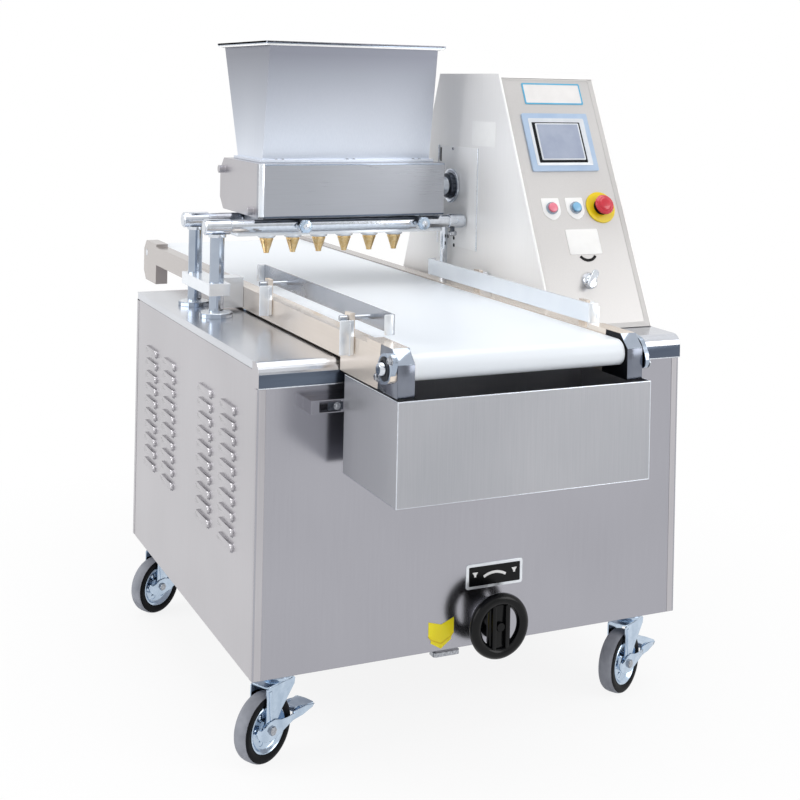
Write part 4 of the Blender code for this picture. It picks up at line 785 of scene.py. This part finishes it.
def hem(name, start, end, radius, material=None, body="root"):
    start, end = Vector(start), Vector(end)
    length = (end - start).length
    up = (0, 0, 1) if abs((end - start).z) < length / 2 else (0, 1, 0)
    return turned(name, [(0, 0), (radius, 0), (radius, length), (0, length)], facing(start, end - start, up),
                  material or bar_steel, body, 12)


box_corners = [(box_low.x, box_high.y), (box_low.x, box_low.y), (box_high.x, box_low.y), (box_high.x, box_high.y)]
for side, near, far in (("left", 0, 1), ("front", 1, 2), ("right", 2, 3), ("rear", 3, 0)):
    near, far = box_corners[near], box_corners[far]
    inset = 0.9 * MM
    top = [Vector((min(max(x, box_low.x + inset), box_high.x - inset), min(max(y, box_low.y + inset),
                                                                           box_high.y - inset),
                   box_high.z - 0.4 * MM)) for x, y in (near, far)]
    hem(f"box_hem_{side}", top[0], top[1], 1.3 * MM)
for end, (x, y) in (("left", box_corners[1]), ("right", box_corners[2])):
    inward = 0.6 * MM if end == "left" else -0.6 * MM
    hem(f"box_weld_{end}", (x + inward, y + 0.6 * MM, box_low.z), (x + inward, y + 0.6 * MM, box_high.z), 1.1 * MM)
hem("box_fold_front", (box_low.x, box_low.y + 0.7 * MM, box_low.z + 0.7 * MM),
    (box_high.x, box_low.y + 0.7 * MM, box_low.z + 0.7 * MM), 0.9 * MM)
hem("box_fold_left", (box_low.x + 0.7 * MM, box_low.y, box_low.z + 0.7 * MM),
    (box_low.x + 0.7 * MM, box_high.y, box_low.z + 0.7 * MM), 0.9 * MM)

hopper_low, hopper_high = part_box("hopper")
rim_middle = Vector(((hopper_low.x + hopper_high.x) / 2, (hopper_low.y + hopper_high.y) / 2, hopper_high.z))
rim_x, rim_y = hopper_high.x - hopper_low.x, hopper_high.y - hopper_low.y
window_ring("hopper_hem", rounded(rim_x, rim_y, 3 * MM), rounded(rim_x - 9 * MM, rim_y - 9 * MM, 3 * MM), 5.5 * MM,
            Matrix.Translation(rim_middle - Vector((0, 0, 5.6 * MM))), rim_steel)
# The lower ring is in the painted white finish: a painted highlight under the hem.
window_ring("hopper_hem_edge", rounded(rim_x - 2 * MM, rim_y - 2 * MM, 3 * MM), rounded(rim_x - 9 * MM,
                                                                                        rim_y - 9 * MM, 3 * MM),
            4 * MM, Matrix.Translation(rim_middle - Vector((0, 0, 9.6 * MM))), painted_highlight_sheet)

# %% Louvre hoods
hood_outline = rounded(0.088, 0.015, 7 * MM, steps=5)
for side, out in (("left", -1), ("right", 1)):
    bm = bmesh.new()
    panel_x = at(0, 0, 0).x if out < 0 else at(0.915, 0, 0).x
    for near in (0.125, 0.275, 0.545, 0.695):
        for row in range(10):
            centre = Vector((panel_x, at(0, near + 0.041, 0).y, 0.3675 + 0.0285 * row))
            add_plate(bm, hood_outline, 5.2 * MM, facing(centre, (out, 0, 0)), bevel=4 * MM)
    finish_piece(f"louvre_hoods_{side}", bm, cabinet_sheet, "root")
    # Below each hood a thin grey plate paints the shade in the slot.
    bm = bmesh.new()
    for near in (0.125, 0.275, 0.545, 0.695):
        for row in range(10):
            centre = Vector((panel_x, at(0, near + 0.041, 0).y, 0.3590 + 0.0285 * row))
            add_plate(bm, rounded(0.080, 0.0026, 1.2 * MM), 0.5 * MM, facing(centre, (out, 0, 0)))
    finish_piece(f"louvre_slots_{side}", bm, painted_shade_grey_steel, "root")

# %% Catch box rail
plate("rail_slot", rounded(30 * MM, 15 * MM, 2 * MM), 0.4 * MM, facing(at(0.135, -0.0398, 0.660), (0, -1, 0)),
      dark_steel)
hex_screw("rail_bolt", at(0.138, -0.0402, 0.660), (0, -1, 0), 5 * MM)
print("edges folded and hemmed")

# %% [markdown]
# ## The control face
# The controls sit on a sloping face, so they share its frame: across from the left edge,
# up along the slope. The touch screen is a moulded bezel with a sloped lip, a dark gasket
# and a sheet of acrylic. The push buttons are coloured lenses in steel collars on white
# shields, and the stop mushroom stands on a yellow disc.

# %% Control face
slope = math.atan2(1.272 - 0.7383, 0.352 - 0.095)
slope_out = Vector((0, -math.sin(slope), math.cos(slope)))
slope_up = Vector((0, math.cos(slope), math.sin(slope)))
face_foot = at(0.672, 0.095, 0.7383)


face_shift = 12 * MM


def on_slope(across, up, lift=0.0):
    point = face_foot + Vector((across, 0, 0)) + slope_up * up + slope_out * (lift - 3.2 * MM)
    return facing(point, slope_out, slope_up)


bezel = window_ring("screen_bezel", rounded(0.168, 0.138, 3 * MM), rounded(0.142, 0.112, 3 * MM), 4 * MM,
                    on_slope(0.108 + face_shift, 0.427), bezel_abs, rise=0.5 * MM)
step = window_ring("screen_step", rounded(0.143, 0.113, 3 * MM), rounded(0.124, 0.097, 2 * MM), 5.5 * MM,
                   on_slope(0.108 + face_shift, 0.427), frame_abs, rise=-4.0 * MM)
seal = plate("screen_gasket", rounded(0.125, 0.098, 1 * MM), 1.2 * MM, on_slope(0.108 + face_shift, 0.427), gasket)
glass_edge = plate("screen_glass_edge", rounded(0.112, 0.088, 2 * MM), 2.2 * MM, on_slope(0.110 + face_shift,
                                                                                          0.429),
                   frame_abs, bevel=0.5 * MM)
glass = plate("screen_glass", rounded(0.105, 0.082, 1 * MM), 2.6 * MM, on_slope(0.110 + face_shift, 0.429),
              screen_acrylic)
for piece in (bezel, step, seal, glass_edge, glass):
    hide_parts("touch_screen")

shield = [(-22, 22), (-20, 24), (20, 24), (22, 22), (22, -6), (19, -14), (12, -21), (4, -25.5), (0, -26), (-4,
                                                                                                           -25.5),
          (-12, -21), (-19, -14), (-22, -6)]
shield = [(x * MM, y * MM) for x, y in reversed(shield)]
for name, body, across, lens in (("start", "start_button", 0.05 + face_shift, red_lens), ("stop", "stop_button",
                                                                                          0.11 + face_shift,
                                                                                          blue_lens)):
    plate(f"{name}_shield", shield, 0.8 * MM, on_slope(across, 0.272), label_film,
          bevel=0.3 * MM)
    cap = turned(f"{name}_lens", mm((0, 11.6), (8, 11.6), (10, 10.8), (10.6, 9), (10.6, 6), (0, 6)),
                 on_slope(across, 0.272), lens, body,
                 40)
    turned(f"{name}_collar", mm((12, 0.8), (13.6, 0.8), (13.6, 4), (12.6, 7), (12, 7), (12, 0.8)), on_slope(across,
                                                                                                            0.272), rim_steel, "root",
           40)
    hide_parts(f"{name}_button")

disc = turned("estop_disc", mm((0, 0), (35.5, 0), (36, 0.6), (35.4, 2.6), (34, 3), (0, 3)),
              on_slope(0.174 + face_shift, 0.272), yellow_abs, "root", 64)
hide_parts("estop_ring")
mushroom = turned("estop_mushroom", mm((0, 26.6), (10, 26.4), (14.5, 25.4), (15.5, 24.2), (16.5, 24.8), (20.6, 23),
                                       (22.4, 20), (22, 17), (19, 14.4), (0, 14.4)),
                  on_slope(0.174 + face_shift, 0.272), red_abs, "estop", 48)
stem = turned("estop_stem", mm((0, 15), (12.6, 15), (12.6, 10.4), (0, 10.4)),
              on_slope(0.174 + face_shift, 0.272), gasket, "estop", 40)
turned("estop_skirt", mm((13.4, 3.2), (18, 3.2), (18, 7), (16.4, 8), (13.4, 8), (13.4, 3.2)),
       on_slope(0.174 + face_shift, 0.272), gasket, "root", 40)
for piece in (mushroom, stem):
    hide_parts("estop_button")

# %% Labels and the rotary handle
window_ring("name_plate_edge", rounded(0.151, 0.052, 3 * MM), rounded(0.144, 0.045, 2 * MM), 0.9 * MM,
            on_slope(0.1295, 0.546), blue_ink)
plate("name_plate", rounded(0.145, 0.046, 2 * MM), 0.6 * MM, on_slope(0.1295, 0.546), name_film)
plate("rating_plate", rounded(0.080, 0.057, 3 * MM), 0.8 * MM, on_slope(0.124, 0.195), label_film,
      bevel=0.3 * MM)
smile = []
for radius, turns in ((20 * MM, range(-6, 7)), (26 * MM, range(6, -7, -1))):
    smile += [(radius * math.sin(math.radians(9 * t)),
               20 * MM - radius * math.cos(math.radians(9 * t))) for t in turns]
plate("turn_legend", list(reversed(smile)), 0.6 * MM, on_slope(0.1265, 0.156), black_ink)
knob = turned("rotary_boss", mm((0, 0), (18, 0), (18, 3), (15, 7), (10, 8), (9, 13), (0, 13)), on_slope(0.116,
                                                                                                        0.107), bar_steel, "selector", 40)
grip_turn = Matrix.Rotation(math.radians(-38), 4, "Z")
grip = plate("rotary_grip", rounded(15 * MM, 46 * MM, 7 * MM), 6 * MM, on_slope(0.116, 0.107) @ grip_turn,
             bar_steel,
             "selector", bevel=2 * MM, foot=13 * MM)
for piece in (knob, grip):
    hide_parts("selector_handle")
plate("side_plate", rounded(0.110, 0.056, 3 * MM), 0.6 * MM, facing(at(0.672, 0.4165, 1.135), (-1, 0, 0)),
      label_film)
print("control face dressed")

# %% [markdown]
# ## The tower's bright edge
# Where the tower's side meets its sloping face, the sheet is folded and welded. It shows as
# one bright line, so a slim rounded bar lies along it in the white finish: a painted highlight.

# %% Tower edge
edge_length = (Vector((0, 0.352, 1.272)) - Vector((0, 0.095, 0.7383))).length
for side, x in (("left", 0.6745), ("right", 0.9137)):
    start = at(x, 0.0955, 0.7386) - slope_out * 1.5 * MM
    radius = 2.6 * MM if side == "left" else 1.4 * MM
    turned(f"tower_edge_{side}", [(0, 1 * MM), (radius, 1 * MM), (radius, edge_length - 2 * MM), (0,
                                                                                                  edge_length - 2 * MM)],
           facing(start, slope_up, slope_out), painted_highlight_sheet, sides=16)
window_ring("tower_frame", rounded(0.2405, edge_length - 3 * MM, 1 * MM),
            rounded(0.2405 - 22 * MM, edge_length - 3 * MM - 22 * MM, 6 * MM), 4.6 * MM,
            on_slope(0.1215, edge_length / 2, -2 * MM), face_sheet, rise=-2.2 * MM)

# %% Drive cover on the tower's side
cover_low, cover_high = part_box("drive_cover")
cover_x = cover_low.x
for end, y in (("front", cover_low.y), ("rear", cover_high.y)):
    turned(f"cover_fold_{end}", [(0, 0), (1.6 * MM, 0), (1.6 * MM, cover_high.z - cover_low.z), (0,
                                                                                                 cover_high.z - cover_low.z)],
           facing(Vector((cover_x + 0.4 * MM, y, cover_low.z)), (0, 0, 1), (0, 1,
                                                                            0)), bar_steel,
                                                                            sides=12)
button_screw("cover_screw", at(0.672, 0.5646, 1.0944) - Vector((at(0.672, 0, 0).x - cover_x, 0, 0)), (-1, 0, 0),
             4 * MM)
plate("cover_slot", rounded(7 * MM, 34 * MM, 3 * MM), 0.3 * MM, facing(Vector((cover_x, at(0, 0.628, 0).y, 1.078)),
                                                                       (-1, 0, 0)),
      gasket)
for i, (y, z) in enumerate(((0.583, 0.8845), (0.5518, 0.884), (0.5508, 0.867))):
    plate(f"cover_hole_{i + 1}", circle(4.5 * MM, 20), 0.3 * MM, facing(Vector((cover_x, at(0, y, 0).y, z)), (-1, 0,
                                                                                                              0)),
          gasket)

# %% [markdown]
# ## Screws and fittings on the head
# The pump opens for cleaning, so everything on it is held by hand screws. The hopper sits
# on the pump with three pairs of lugs. The drive shaft comes from the tower through a
# bright claw coupling.

# %% Head fittings
cover_near, cover_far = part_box("pump_front_cover")
cover_wide, cover_high_span = cover_far.x - cover_near.x, cover_far.z - cover_near.z
# Strips along the cover's edges paint light and shade: the bright left strip is a painted highlight, and the bottom
# strip in the dark finish is painted shade.
for name, x, z, wide, high, finish in (("left", 0, 0, 13 * MM, cover_high_span, plate_steel),
                                       ("top", 13 * MM, cover_high_span - 4 * MM, cover_wide - 13 * MM, 3 * MM,
                                        rim_steel),
                                       ("bottom", 0, 0, cover_wide, 3 * MM, dark_reflection_sheet)):
    plate(f"pump_trim_{name}", [(0, 0), (wide, 0), (wide, high), (0, high)], 1.2 * MM,
          facing(Vector((cover_near.x + x, cover_near.y + 0.2 * MM, cover_near.z + z)), (0, -1, 0)), finish, "root",
          bevel=0.4 * MM)
for i, x in enumerate((0.222, 0.392, 0.556)):
    for side in (-1, 1):
        button_screw(f"hopper_lug_{i + 1}_{'left' if side < 0 else 'right'}", at(x + side * 8 * MM, 0.5265, 1.0722),
                     (0, 0, 1), 3.4 * MM, up=(0, 1, 0))
coupling_low, coupling_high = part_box("drive_coupling")
coupling_middle = (coupling_low + coupling_high) / 2
shaft_spot = (coupling_middle.y, coupling_middle.z)


def on_shaft(x):
    return facing(Vector((at(x, 0, 0).x, *shaft_spot)), (-1, 0, 0))


turned("coupling_flange", mm((0, 0), (39, 0), (40, 1), (40, 5), (38, 6), (31, 6), (29, 3), (0, 3)),
       on_shaft(0.6695), bar_steel, "feed_front", 56)
turned("coupling_jaw", mm((0, 0), (28, 0), (29, 1), (29, 12), (26, 13), (0, 13)),
       on_shaft(0.6665), dark_steel, "feed_front", 48)
turned("coupling_collar", mm((0, 0), (20.5, 0), (22, 1.5), (22, 19), (20, 21), (0, 21)),
       on_shaft(0.6535), bar_steel, "feed_front", 48)
turned("coupling_boss", mm((0, 0), (25, 0), (25, 11), (0, 11)), on_shaft(0.6315), bar_steel, "feed_front",
       48)
for i in range(4):
    turn = math.radians(45 + 90 * i)
    spot = on_shaft(0.6640)
    point = spot @ Vector((35 * MM * math.cos(turn), 35 * MM * math.sin(turn), 0))
    button_screw(f"coupling_screw_{i + 1}", point, (-1, 0, 0), 3.4 * MM, body="feed_front")

# %% [markdown]
# ## Rail ends
# Each head rail ends in a tube that is clamped over the top of its column. The clamp's
# sleeve is turned, so it shows as a slightly thicker, brighter end of the rail.

# %% Rail end clamps
column_x, rail_z = 0.075, 0.93
clamps = []
for column, y in (("front", 0.5), ("rear", 0.665)):
    sleeve = turned(f"rail_sleeve_{column}", mm((0, 0), (15.4, 0), (17, 1.6), (17, 56), (15.6, 57.6), (0, 57.6)),
                    facing(at(0.045, y, rail_z), (1, 0, 0)), bar_steel, sides=48)
    socket = turned(f"column_socket_{column}", mm((0, 0), (18.6, 0), (19, 1), (19, 7), (0, 7)),
                    facing(at(column_x, y, rail_z - 22 * MM), (0, 0, 1), (0, 1, 0)), bar_steel, sides=48)
    clamps += [sleeve, socket]
for piece in clamps:
    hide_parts("rail_block_left")
for name, y in (("front", 0.5), ("rear", 0.665)):
    sleeve = turned(f"rail_tip_{name}", mm((0, 0), (14.6, 0), (16, 1.6), (16, 37), (14, 39), (0, 39)),
                    facing(at(0.6265, y, rail_z), (1, 0, 0)), bar_steel, sides=48)
    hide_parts("rail_block_right")
turned("rail_lock_stem", mm((0, 0), (5, 0), (5, 14), (0, 14)),
       facing(at(0.640, 0.5, 0.918), (0, 0, -1), (0, 1, 0)), dark_steel, sides=24)
turned("rail_lock_knob", mm((0, 0), (9, 0), (10, 2), (10, 8), (8, 10), (0, 10)),
       facing(at(0.640, 0.5, 0.906), (0, 0, -1), (0, 1, 0)), screw_steel, sides=32)
knob_outline = []
for step in range(60):
    turn = 2 * math.pi * step / 60
    reach = 14.2 * MM + 1.4 * MM * math.cos(6 * turn)
    knob_outline.append((reach * math.cos(turn), reach * math.sin(turn)))
for i, side in enumerate(("left", "right")):
    body = f"clamp_{side}"
    knob_low, knob_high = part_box(f"clamp_knob_{side}")
    centre = Vector(((knob_low.x + knob_high.x) / 2, knob_low.y, (knob_low.z + knob_high.z) / 2))
    plate(f"clamp_cap_{i + 1}", knob_outline, 9 * MM, facing(centre, (0, -1, 0)), zinc_plate, body,
          bevel=2.5 * MM, foot=-4 * MM)
    turned(f"clamp_nut_{i + 1}", mm((0, 0), (7, 0), (7, 2), (5, 3.4), (0, 3.6)),
           facing(centre + Vector((0, -5 * MM, 0)), (0, -1, 0)), bar_steel, body, sides=32)

# %% [markdown]
# ## Screws on the body
# Screws go where a fitter needs them: round the rear and right covers, on the bearing and
# on the guide brackets. The column flanges get a seal and a disc. Each row is a list of
# places, and one loop sets them.

# %% Screws on covers, seals and discs on the flanges
for i, x in enumerate((0.03, 0.315, 0.6, 0.885)):
    for level, z in (("low", 0.19), ("mid", 0.44), ("high", 0.69)):
        button_screw(f"rear_screw_{i + 1}_{level}", at(x, 0.885, z), (0, 1, 0), 5 * MM)
for i, y in enumerate((0.06, 0.33, 0.6, 0.84)):
    for level, z in (("low", 0.19), ("high", 0.69)):
        button_screw(f"right_screw_{i + 1}_{level}", at(0.915, y, z), (1, 0, 0), 5 * MM)
for column, y in (("front", 0.5), ("rear", 0.665)):
    turned(f"flange_seal_{column}", mm((0, -0.2), (33.4, -0.2), (33.4, 0.8), (0, 0.8)),
           facing(at(column_x, y, deck_top), (0, 0, 1), (0, 1, 0)), dark_steel, sides=56)
    turned(f"flange_disc_{column}", mm((0, 0.8), (31.5, 0.8), (32.5, 2), (32.5, 8.6), (31, 10), (0, 10)),
           facing(at(column_x, y, deck_top), (0, 0, 1), (0, 1, 0)), plate_steel, sides=56)
print("screws set")

# %% [markdown]
# ## Bearings and guide brackets
# The belt's front shaft turns in a flange bearing with two ears, bolted to each end plate.
# Its housing is cast and machined, so a dark ring shows between two bright ones. The tray
# guides hang on rods from small angle brackets, each held by two screws.

# %% Flange bearings
roller_low, roller_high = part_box("belt_roller_front")
shaft_y, shaft_z = (roller_low.y + roller_high.y) / 2, (roller_low.z + roller_high.z) / 2
ear_outline = []
for step in range(48):
    turn = 2 * math.pi * step / 48
    ear = abs(math.cos(turn - math.radians(35))) ** 6
    reach = 26 * MM + 14 * MM * ear
    ear_outline.append((reach * math.cos(turn), reach * math.sin(turn)))
for side, x, out in (("left", 0.155, -1), ("right", 0.643, 1)):
    spot = facing(Vector((at(x, 0, 0).x, shaft_y, shaft_z)), (out, 0, 0))
    plate(f"bearing_housing_{side}", ear_outline, 9 * MM, spot, rim_steel, "conveyor",
          bevel=2 * MM,
          foot=3.3 * MM)
    turned(f"bearing_race_{side}", mm((0, 12), (21, 12), (21, 13.4), (18, 14.4), (14.4, 14.4), (14, 12.6), (0,
                                                                                                            12.6)), spot, gasket_steel,
           "conveyor", 40)
    turned(f"shaft_end_{side}", mm((0, 0), (11.4, 0), (11.4, 9), (9.8, 11), (0, 11)),
           spot @ Matrix.Translation((0, 0, 12.4 * MM)), bar_steel, "belt_roller_front", 40)
    for end in (1, -1):
        turn = math.radians(35) if end > 0 else math.radians(215)
        point = spot @ Vector((32 * MM * math.cos(turn), 32 * MM * math.sin(turn), 12.2 * MM))
        hex_screw(f"bearing_bolt_{side}_{'rear' if end > 0 else 'front'}", point, (out, 0, 0), 6.4 * MM, "conveyor")

# %% End plate faces and guide folds
end_y, end_z = -0.262, 0.718
end_side = mm((0, 0), (82, 0), (70, 80), (24, 80), (0, 56))
plate("end_shadow", [(-x, z) for x, z in reversed(end_side)], 0.4 * MM, facing(at(0.611, end_y, end_z), (-1, 0, 0)),
      gasket, "conveyor")
for side in ("left", "right"):
    inner_x, outer_x = (0.155, 0.187) if side == "left" else (0.611, 0.643)
    width = outer_x - inner_x
    # Thin skins paint the light on each face of the end plates: the front and outer faces are painted shade grey, and
    # the chamfer is lighter, painted light where it faces up.
    plate(f"end_face_{side}", [(0, 0), (width, 0), (width, 56 * MM), (0, 56 * MM)], 0.4 * MM,
          facing(at(inner_x, end_y, end_z), (0, -1, 0)), painted_shade_grey_steel, "conveyor", bevel=0.3 * MM)
    plate(f"end_chamfer_{side}", [(0, 0), (width, 0), (width, 33.9 * MM), (0, 33.9 * MM)], 0.4 * MM,
          facing(at(inner_x, end_y, end_z + 56 * MM), (0, -1, 1), (0, 1,
                                                                   1)), column_steel, "conveyor",
          bevel=0.3 * MM)
    plate(f"end_side_{side}", [(x if side == "right" else -x, z) for x,
                               z in (end_side if side == "right" else end_side[::-1])],
          0.4 * MM, facing(at(0.155 if side == "left" else 0.643, end_y, end_z), (-1 if side == "left" else 1, 0,
                                                                                  0)),
          painted_shade_grey_steel, "conveyor", bevel=0.3 * MM)
    guide_low, guide_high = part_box(f"guide_rail_{side}")
    out = -1 if side == "left" else 1
    for end, y in (("front", guide_low.y), ("rear", guide_high.y)):
        middle = Vector((at(0.188 if out < 0 else 0.610, 0, 0).x, y, 0.822))
        plate(f"guide_fold_{side}_{end}", rounded(17 * MM, 36 * MM, 2 * MM), 2 * MM,
              facing(middle + Vector((0, 1 * MM if end == "front" else 0, 0)), (0, -1,
                                                                                0)), plate_steel, f"guide_{side}",
              bevel=0.6 * MM)

# %% Guide brackets
for side, x, out in (("left", 0.155, -1), ("right", 0.643, 1)):
    for end, y in (("front", -0.06), ("rear", 0.38)):
        name = f"{side}_{end}"
        middle = at(x, y, 0.789)
        plate(f"bracket_plate_{name}", rounded(34 * MM, 60 * MM, 3 * MM), 2.5 * MM,
                     facing(middle + Vector((out * 8 * MM, 0, -3 * MM)), (out, 0, 0)), plate_steel, "conveyor",
                     bevel=0.8 * MM)
        plate(f"bracket_wing_{name}", rounded(27 * MM, 62 * MM, 2 * MM), 3 * MM,
              facing(middle + Vector((out * 15 * MM, -13 * MM, 0)), (0, -1,
                                                                     0)), plate_steel, "conveyor",
              bevel=0.8 * MM)
        for level in (-1, 1):
            button_screw(f"bracket_screw_{name}_{'low' if level < 0 else 'high'}",
                         middle + Vector((out * 10.5 * MM, 4 * MM + level * 6 * MM, -20 * MM)), (out, 0,
                                                                                                 0), 3.2 * MM,
                         "conveyor", material=dark_steel)

# %% [markdown]
# ## Floor and light
# The machine stands on a pale studio floor that fades into a white wall. The floor is an
# ordinary matt surface near the machine, where it carries the shadow, and glows white
# further off, so no horizon shows. Three large soft lamps light the machine. The world gives
# metal something to mirror: bright overhead and to the sides, with a darker band to the
# front.

# %% Floor
floor_mesh = bpy.data.meshes.new("studio_floor")
reach = 14
floor_mesh.from_pydata([(-reach, -reach, 0), (reach, -reach, 0), (reach, reach, 0), (-reach, reach, 0)], [], [(0, 1,
                                                                                                               2, 3)])
floor = bpy.data.objects.new("studio_floor", floor_mesh)
bpy.context.scene.collection.objects.link(floor)
paper, paper_tree, paper_shader = new_finish("background paper matt white", 0.9, ior=1.45)
paper_shader.inputs["Base Color"].default_value = linear("#F4F4F5")
spot = add_node(paper_tree, "ShaderNodeTexCoord").outputs["Object"]
away = add_node(paper_tree, "ShaderNodeVectorMath", {0: spot}, operation="LENGTH").outputs["Value"]
fade = add_node(paper_tree, "ShaderNodeMapRange", {"Value": away, "From Min": 0.4, "From Max": 1.5,
                                                  "To Min": 0.85, "To Max": 1.0}).outputs[0]
ray = add_node(paper_tree, "ShaderNodeLightPath").outputs
seen = add_node(paper_tree, "ShaderNodeMath", {0: ray["Is Camera Ray"], 1: ray["Is Glossy Ray"]},
                operation="MAXIMUM").outputs[0]
seen = add_node(paper_tree, "ShaderNodeMath", {0: seen, 1: ray["Is Transmission Ray"]},
                operation="MAXIMUM").outputs[0]
share = add_node(paper_tree, "ShaderNodeMath", {0: seen, 1: fade}, operation="MULTIPLY").outputs[0]
glow = add_node(paper_tree, "ShaderNodeEmission", {"Color": (1, 1, 1, 1), "Strength": 1.0}).outputs[0]
both = add_node(paper_tree, "ShaderNodeMixShader", {0: share, 1: paper_shader.outputs[0], 2: glow}).outputs[0]
paper_tree.links.new(both, paper_tree.nodes["Material Output"].inputs["Surface"])
floor_mesh.materials.append(paper)

# %% World
world = bpy.data.worlds.new("studio")
world.use_nodes = True
bpy.context.scene.world = world
sky = world.node_tree
sky.nodes.clear()
direction = add_node(sky, "ShaderNodeTexCoord").outputs["Generated"]
parts = add_node(sky, "ShaderNodeSeparateXYZ", {0: direction}).outputs
# A band to the front is darker, as a room behind a photographer is; the sides are bright
band = add_node(sky, "ShaderNodeMapRange", {"Value": parts["Y"], "From Min": -0.35, "From Max": -0.95,
                                            "To Min": 0.0, "To Max": 1.0}).outputs[0]
side = add_node(sky, "ShaderNodeMath", {0: parts["X"], 1: 0.42}, operation="SUBTRACT").outputs[0]
side = add_node(sky, "ShaderNodeMath", {0: side}, operation="ABSOLUTE").outputs[0]
narrow = add_node(sky, "ShaderNodeMapRange", {"Value": side, "From Min": 0.0, "From Max": 0.35,
                                              "To Min": 0.42, "To Max": 0.0}).outputs[0]
dark = add_node(sky, "ShaderNodeMath", {0: band, 1: narrow}, operation="MULTIPLY").outputs[0]
height = add_node(sky, "ShaderNodeMapRange", {"Value": parts["Z"], "From Min": 0.0, "From Max": 0.8,
                                             "To Min": 0.86, "To Max": 1.15}).outputs[0]
mirrored = add_node(sky, "ShaderNodeMath", {0: height, 1: dark}, operation="SUBTRACT", use_clamp=True).outputs[0]
sky_ray = add_node(sky, "ShaderNodeLightPath").outputs
shown = add_node(sky, "ShaderNodeMath", {0: sky_ray["Is Glossy Ray"], 1: sky_ray["Is Transmission Ray"]},
                 operation="MAXIMUM").outputs[0]
metal_light = add_node(sky, "ShaderNodeMix", {0: shown, 2: 0.55, 3: mirrored}, data_type="FLOAT").outputs[0]
strength = add_node(sky, "ShaderNodeMix", {0: sky_ray["Is Camera Ray"], 2: metal_light, 3: 1.0},
                    data_type="FLOAT").outputs[0]
light = add_node(sky, "ShaderNodeBackground", {"Color": (1, 1, 1, 1), "Strength": strength}).outputs[0]
add_node(sky, "ShaderNodeOutputWorld", {"Surface": light})


# %% Lamps
def soft_lamp(name, place, target, size, power):
    data = bpy.data.lights.new(name, "AREA")
    data.shape = "RECTANGLE"
    data.size, data.size_y = size
    data.energy = power
    lamp = bpy.data.objects.new(name, data)
    bpy.context.scene.collection.objects.link(lamp)
    lamp.location = place
    lamp.rotation_euler = (Vector(target) - Vector(place)).to_track_quat("-Z", "Y").to_euler()
    return lamp


soft_lamp("overhead", (0.2, -0.2, 3.4), (0, 0, 0.8), (2.6, 2.6), 40)
soft_lamp("left window", (-3.4, 0.2, 2.0), (0, 0, 0.8), (2.4, 2.4), 56)
soft_lamp("front fill", (2.4, -3.0, 1.8), (0.2, 0, 0.5), (2.0, 2.0), 34)
print("lamps set")

# %% [markdown]
# ## The camera
# The photograph was taken from the front left, a little above the hopper's rim, with the
# lens shifted down so that upright edges stay upright. The same numbers here give the same
# view: a heading, a small tilt and roll, and the shift.

# %% Camera
heading, tilt, roll = math.radians(24.697), math.radians(0.091), math.radians(1.152)
eye = at(-0.8036, -2.3324, 1.2411)
ahead = Vector((math.sin(heading) * math.cos(tilt), math.cos(heading) * math.cos(tilt), -math.sin(tilt)))
level_right = Vector((math.cos(heading), -math.sin(heading), 0))
level_up = level_right.cross(ahead)
right = level_right * math.cos(roll) + level_up * math.sin(roll)
upward = level_up * math.cos(roll) - level_right * math.sin(roll)
camera_data = bpy.data.cameras.new("photograph view")
camera_data.sensor_width = 36
camera_data.lens = 61.66
camera_data.shift_y = -0.3903
camera = bpy.data.objects.new("photograph view", camera_data)
bpy.context.scene.collection.objects.link(camera)
turn = Matrix((right, upward, -ahead)).transposed().to_4x4()
turn.translation = eye
camera.matrix_world = turn
bpy.context.scene.camera = camera
bpy.context.scene.view_settings.view_transform = "Standard"
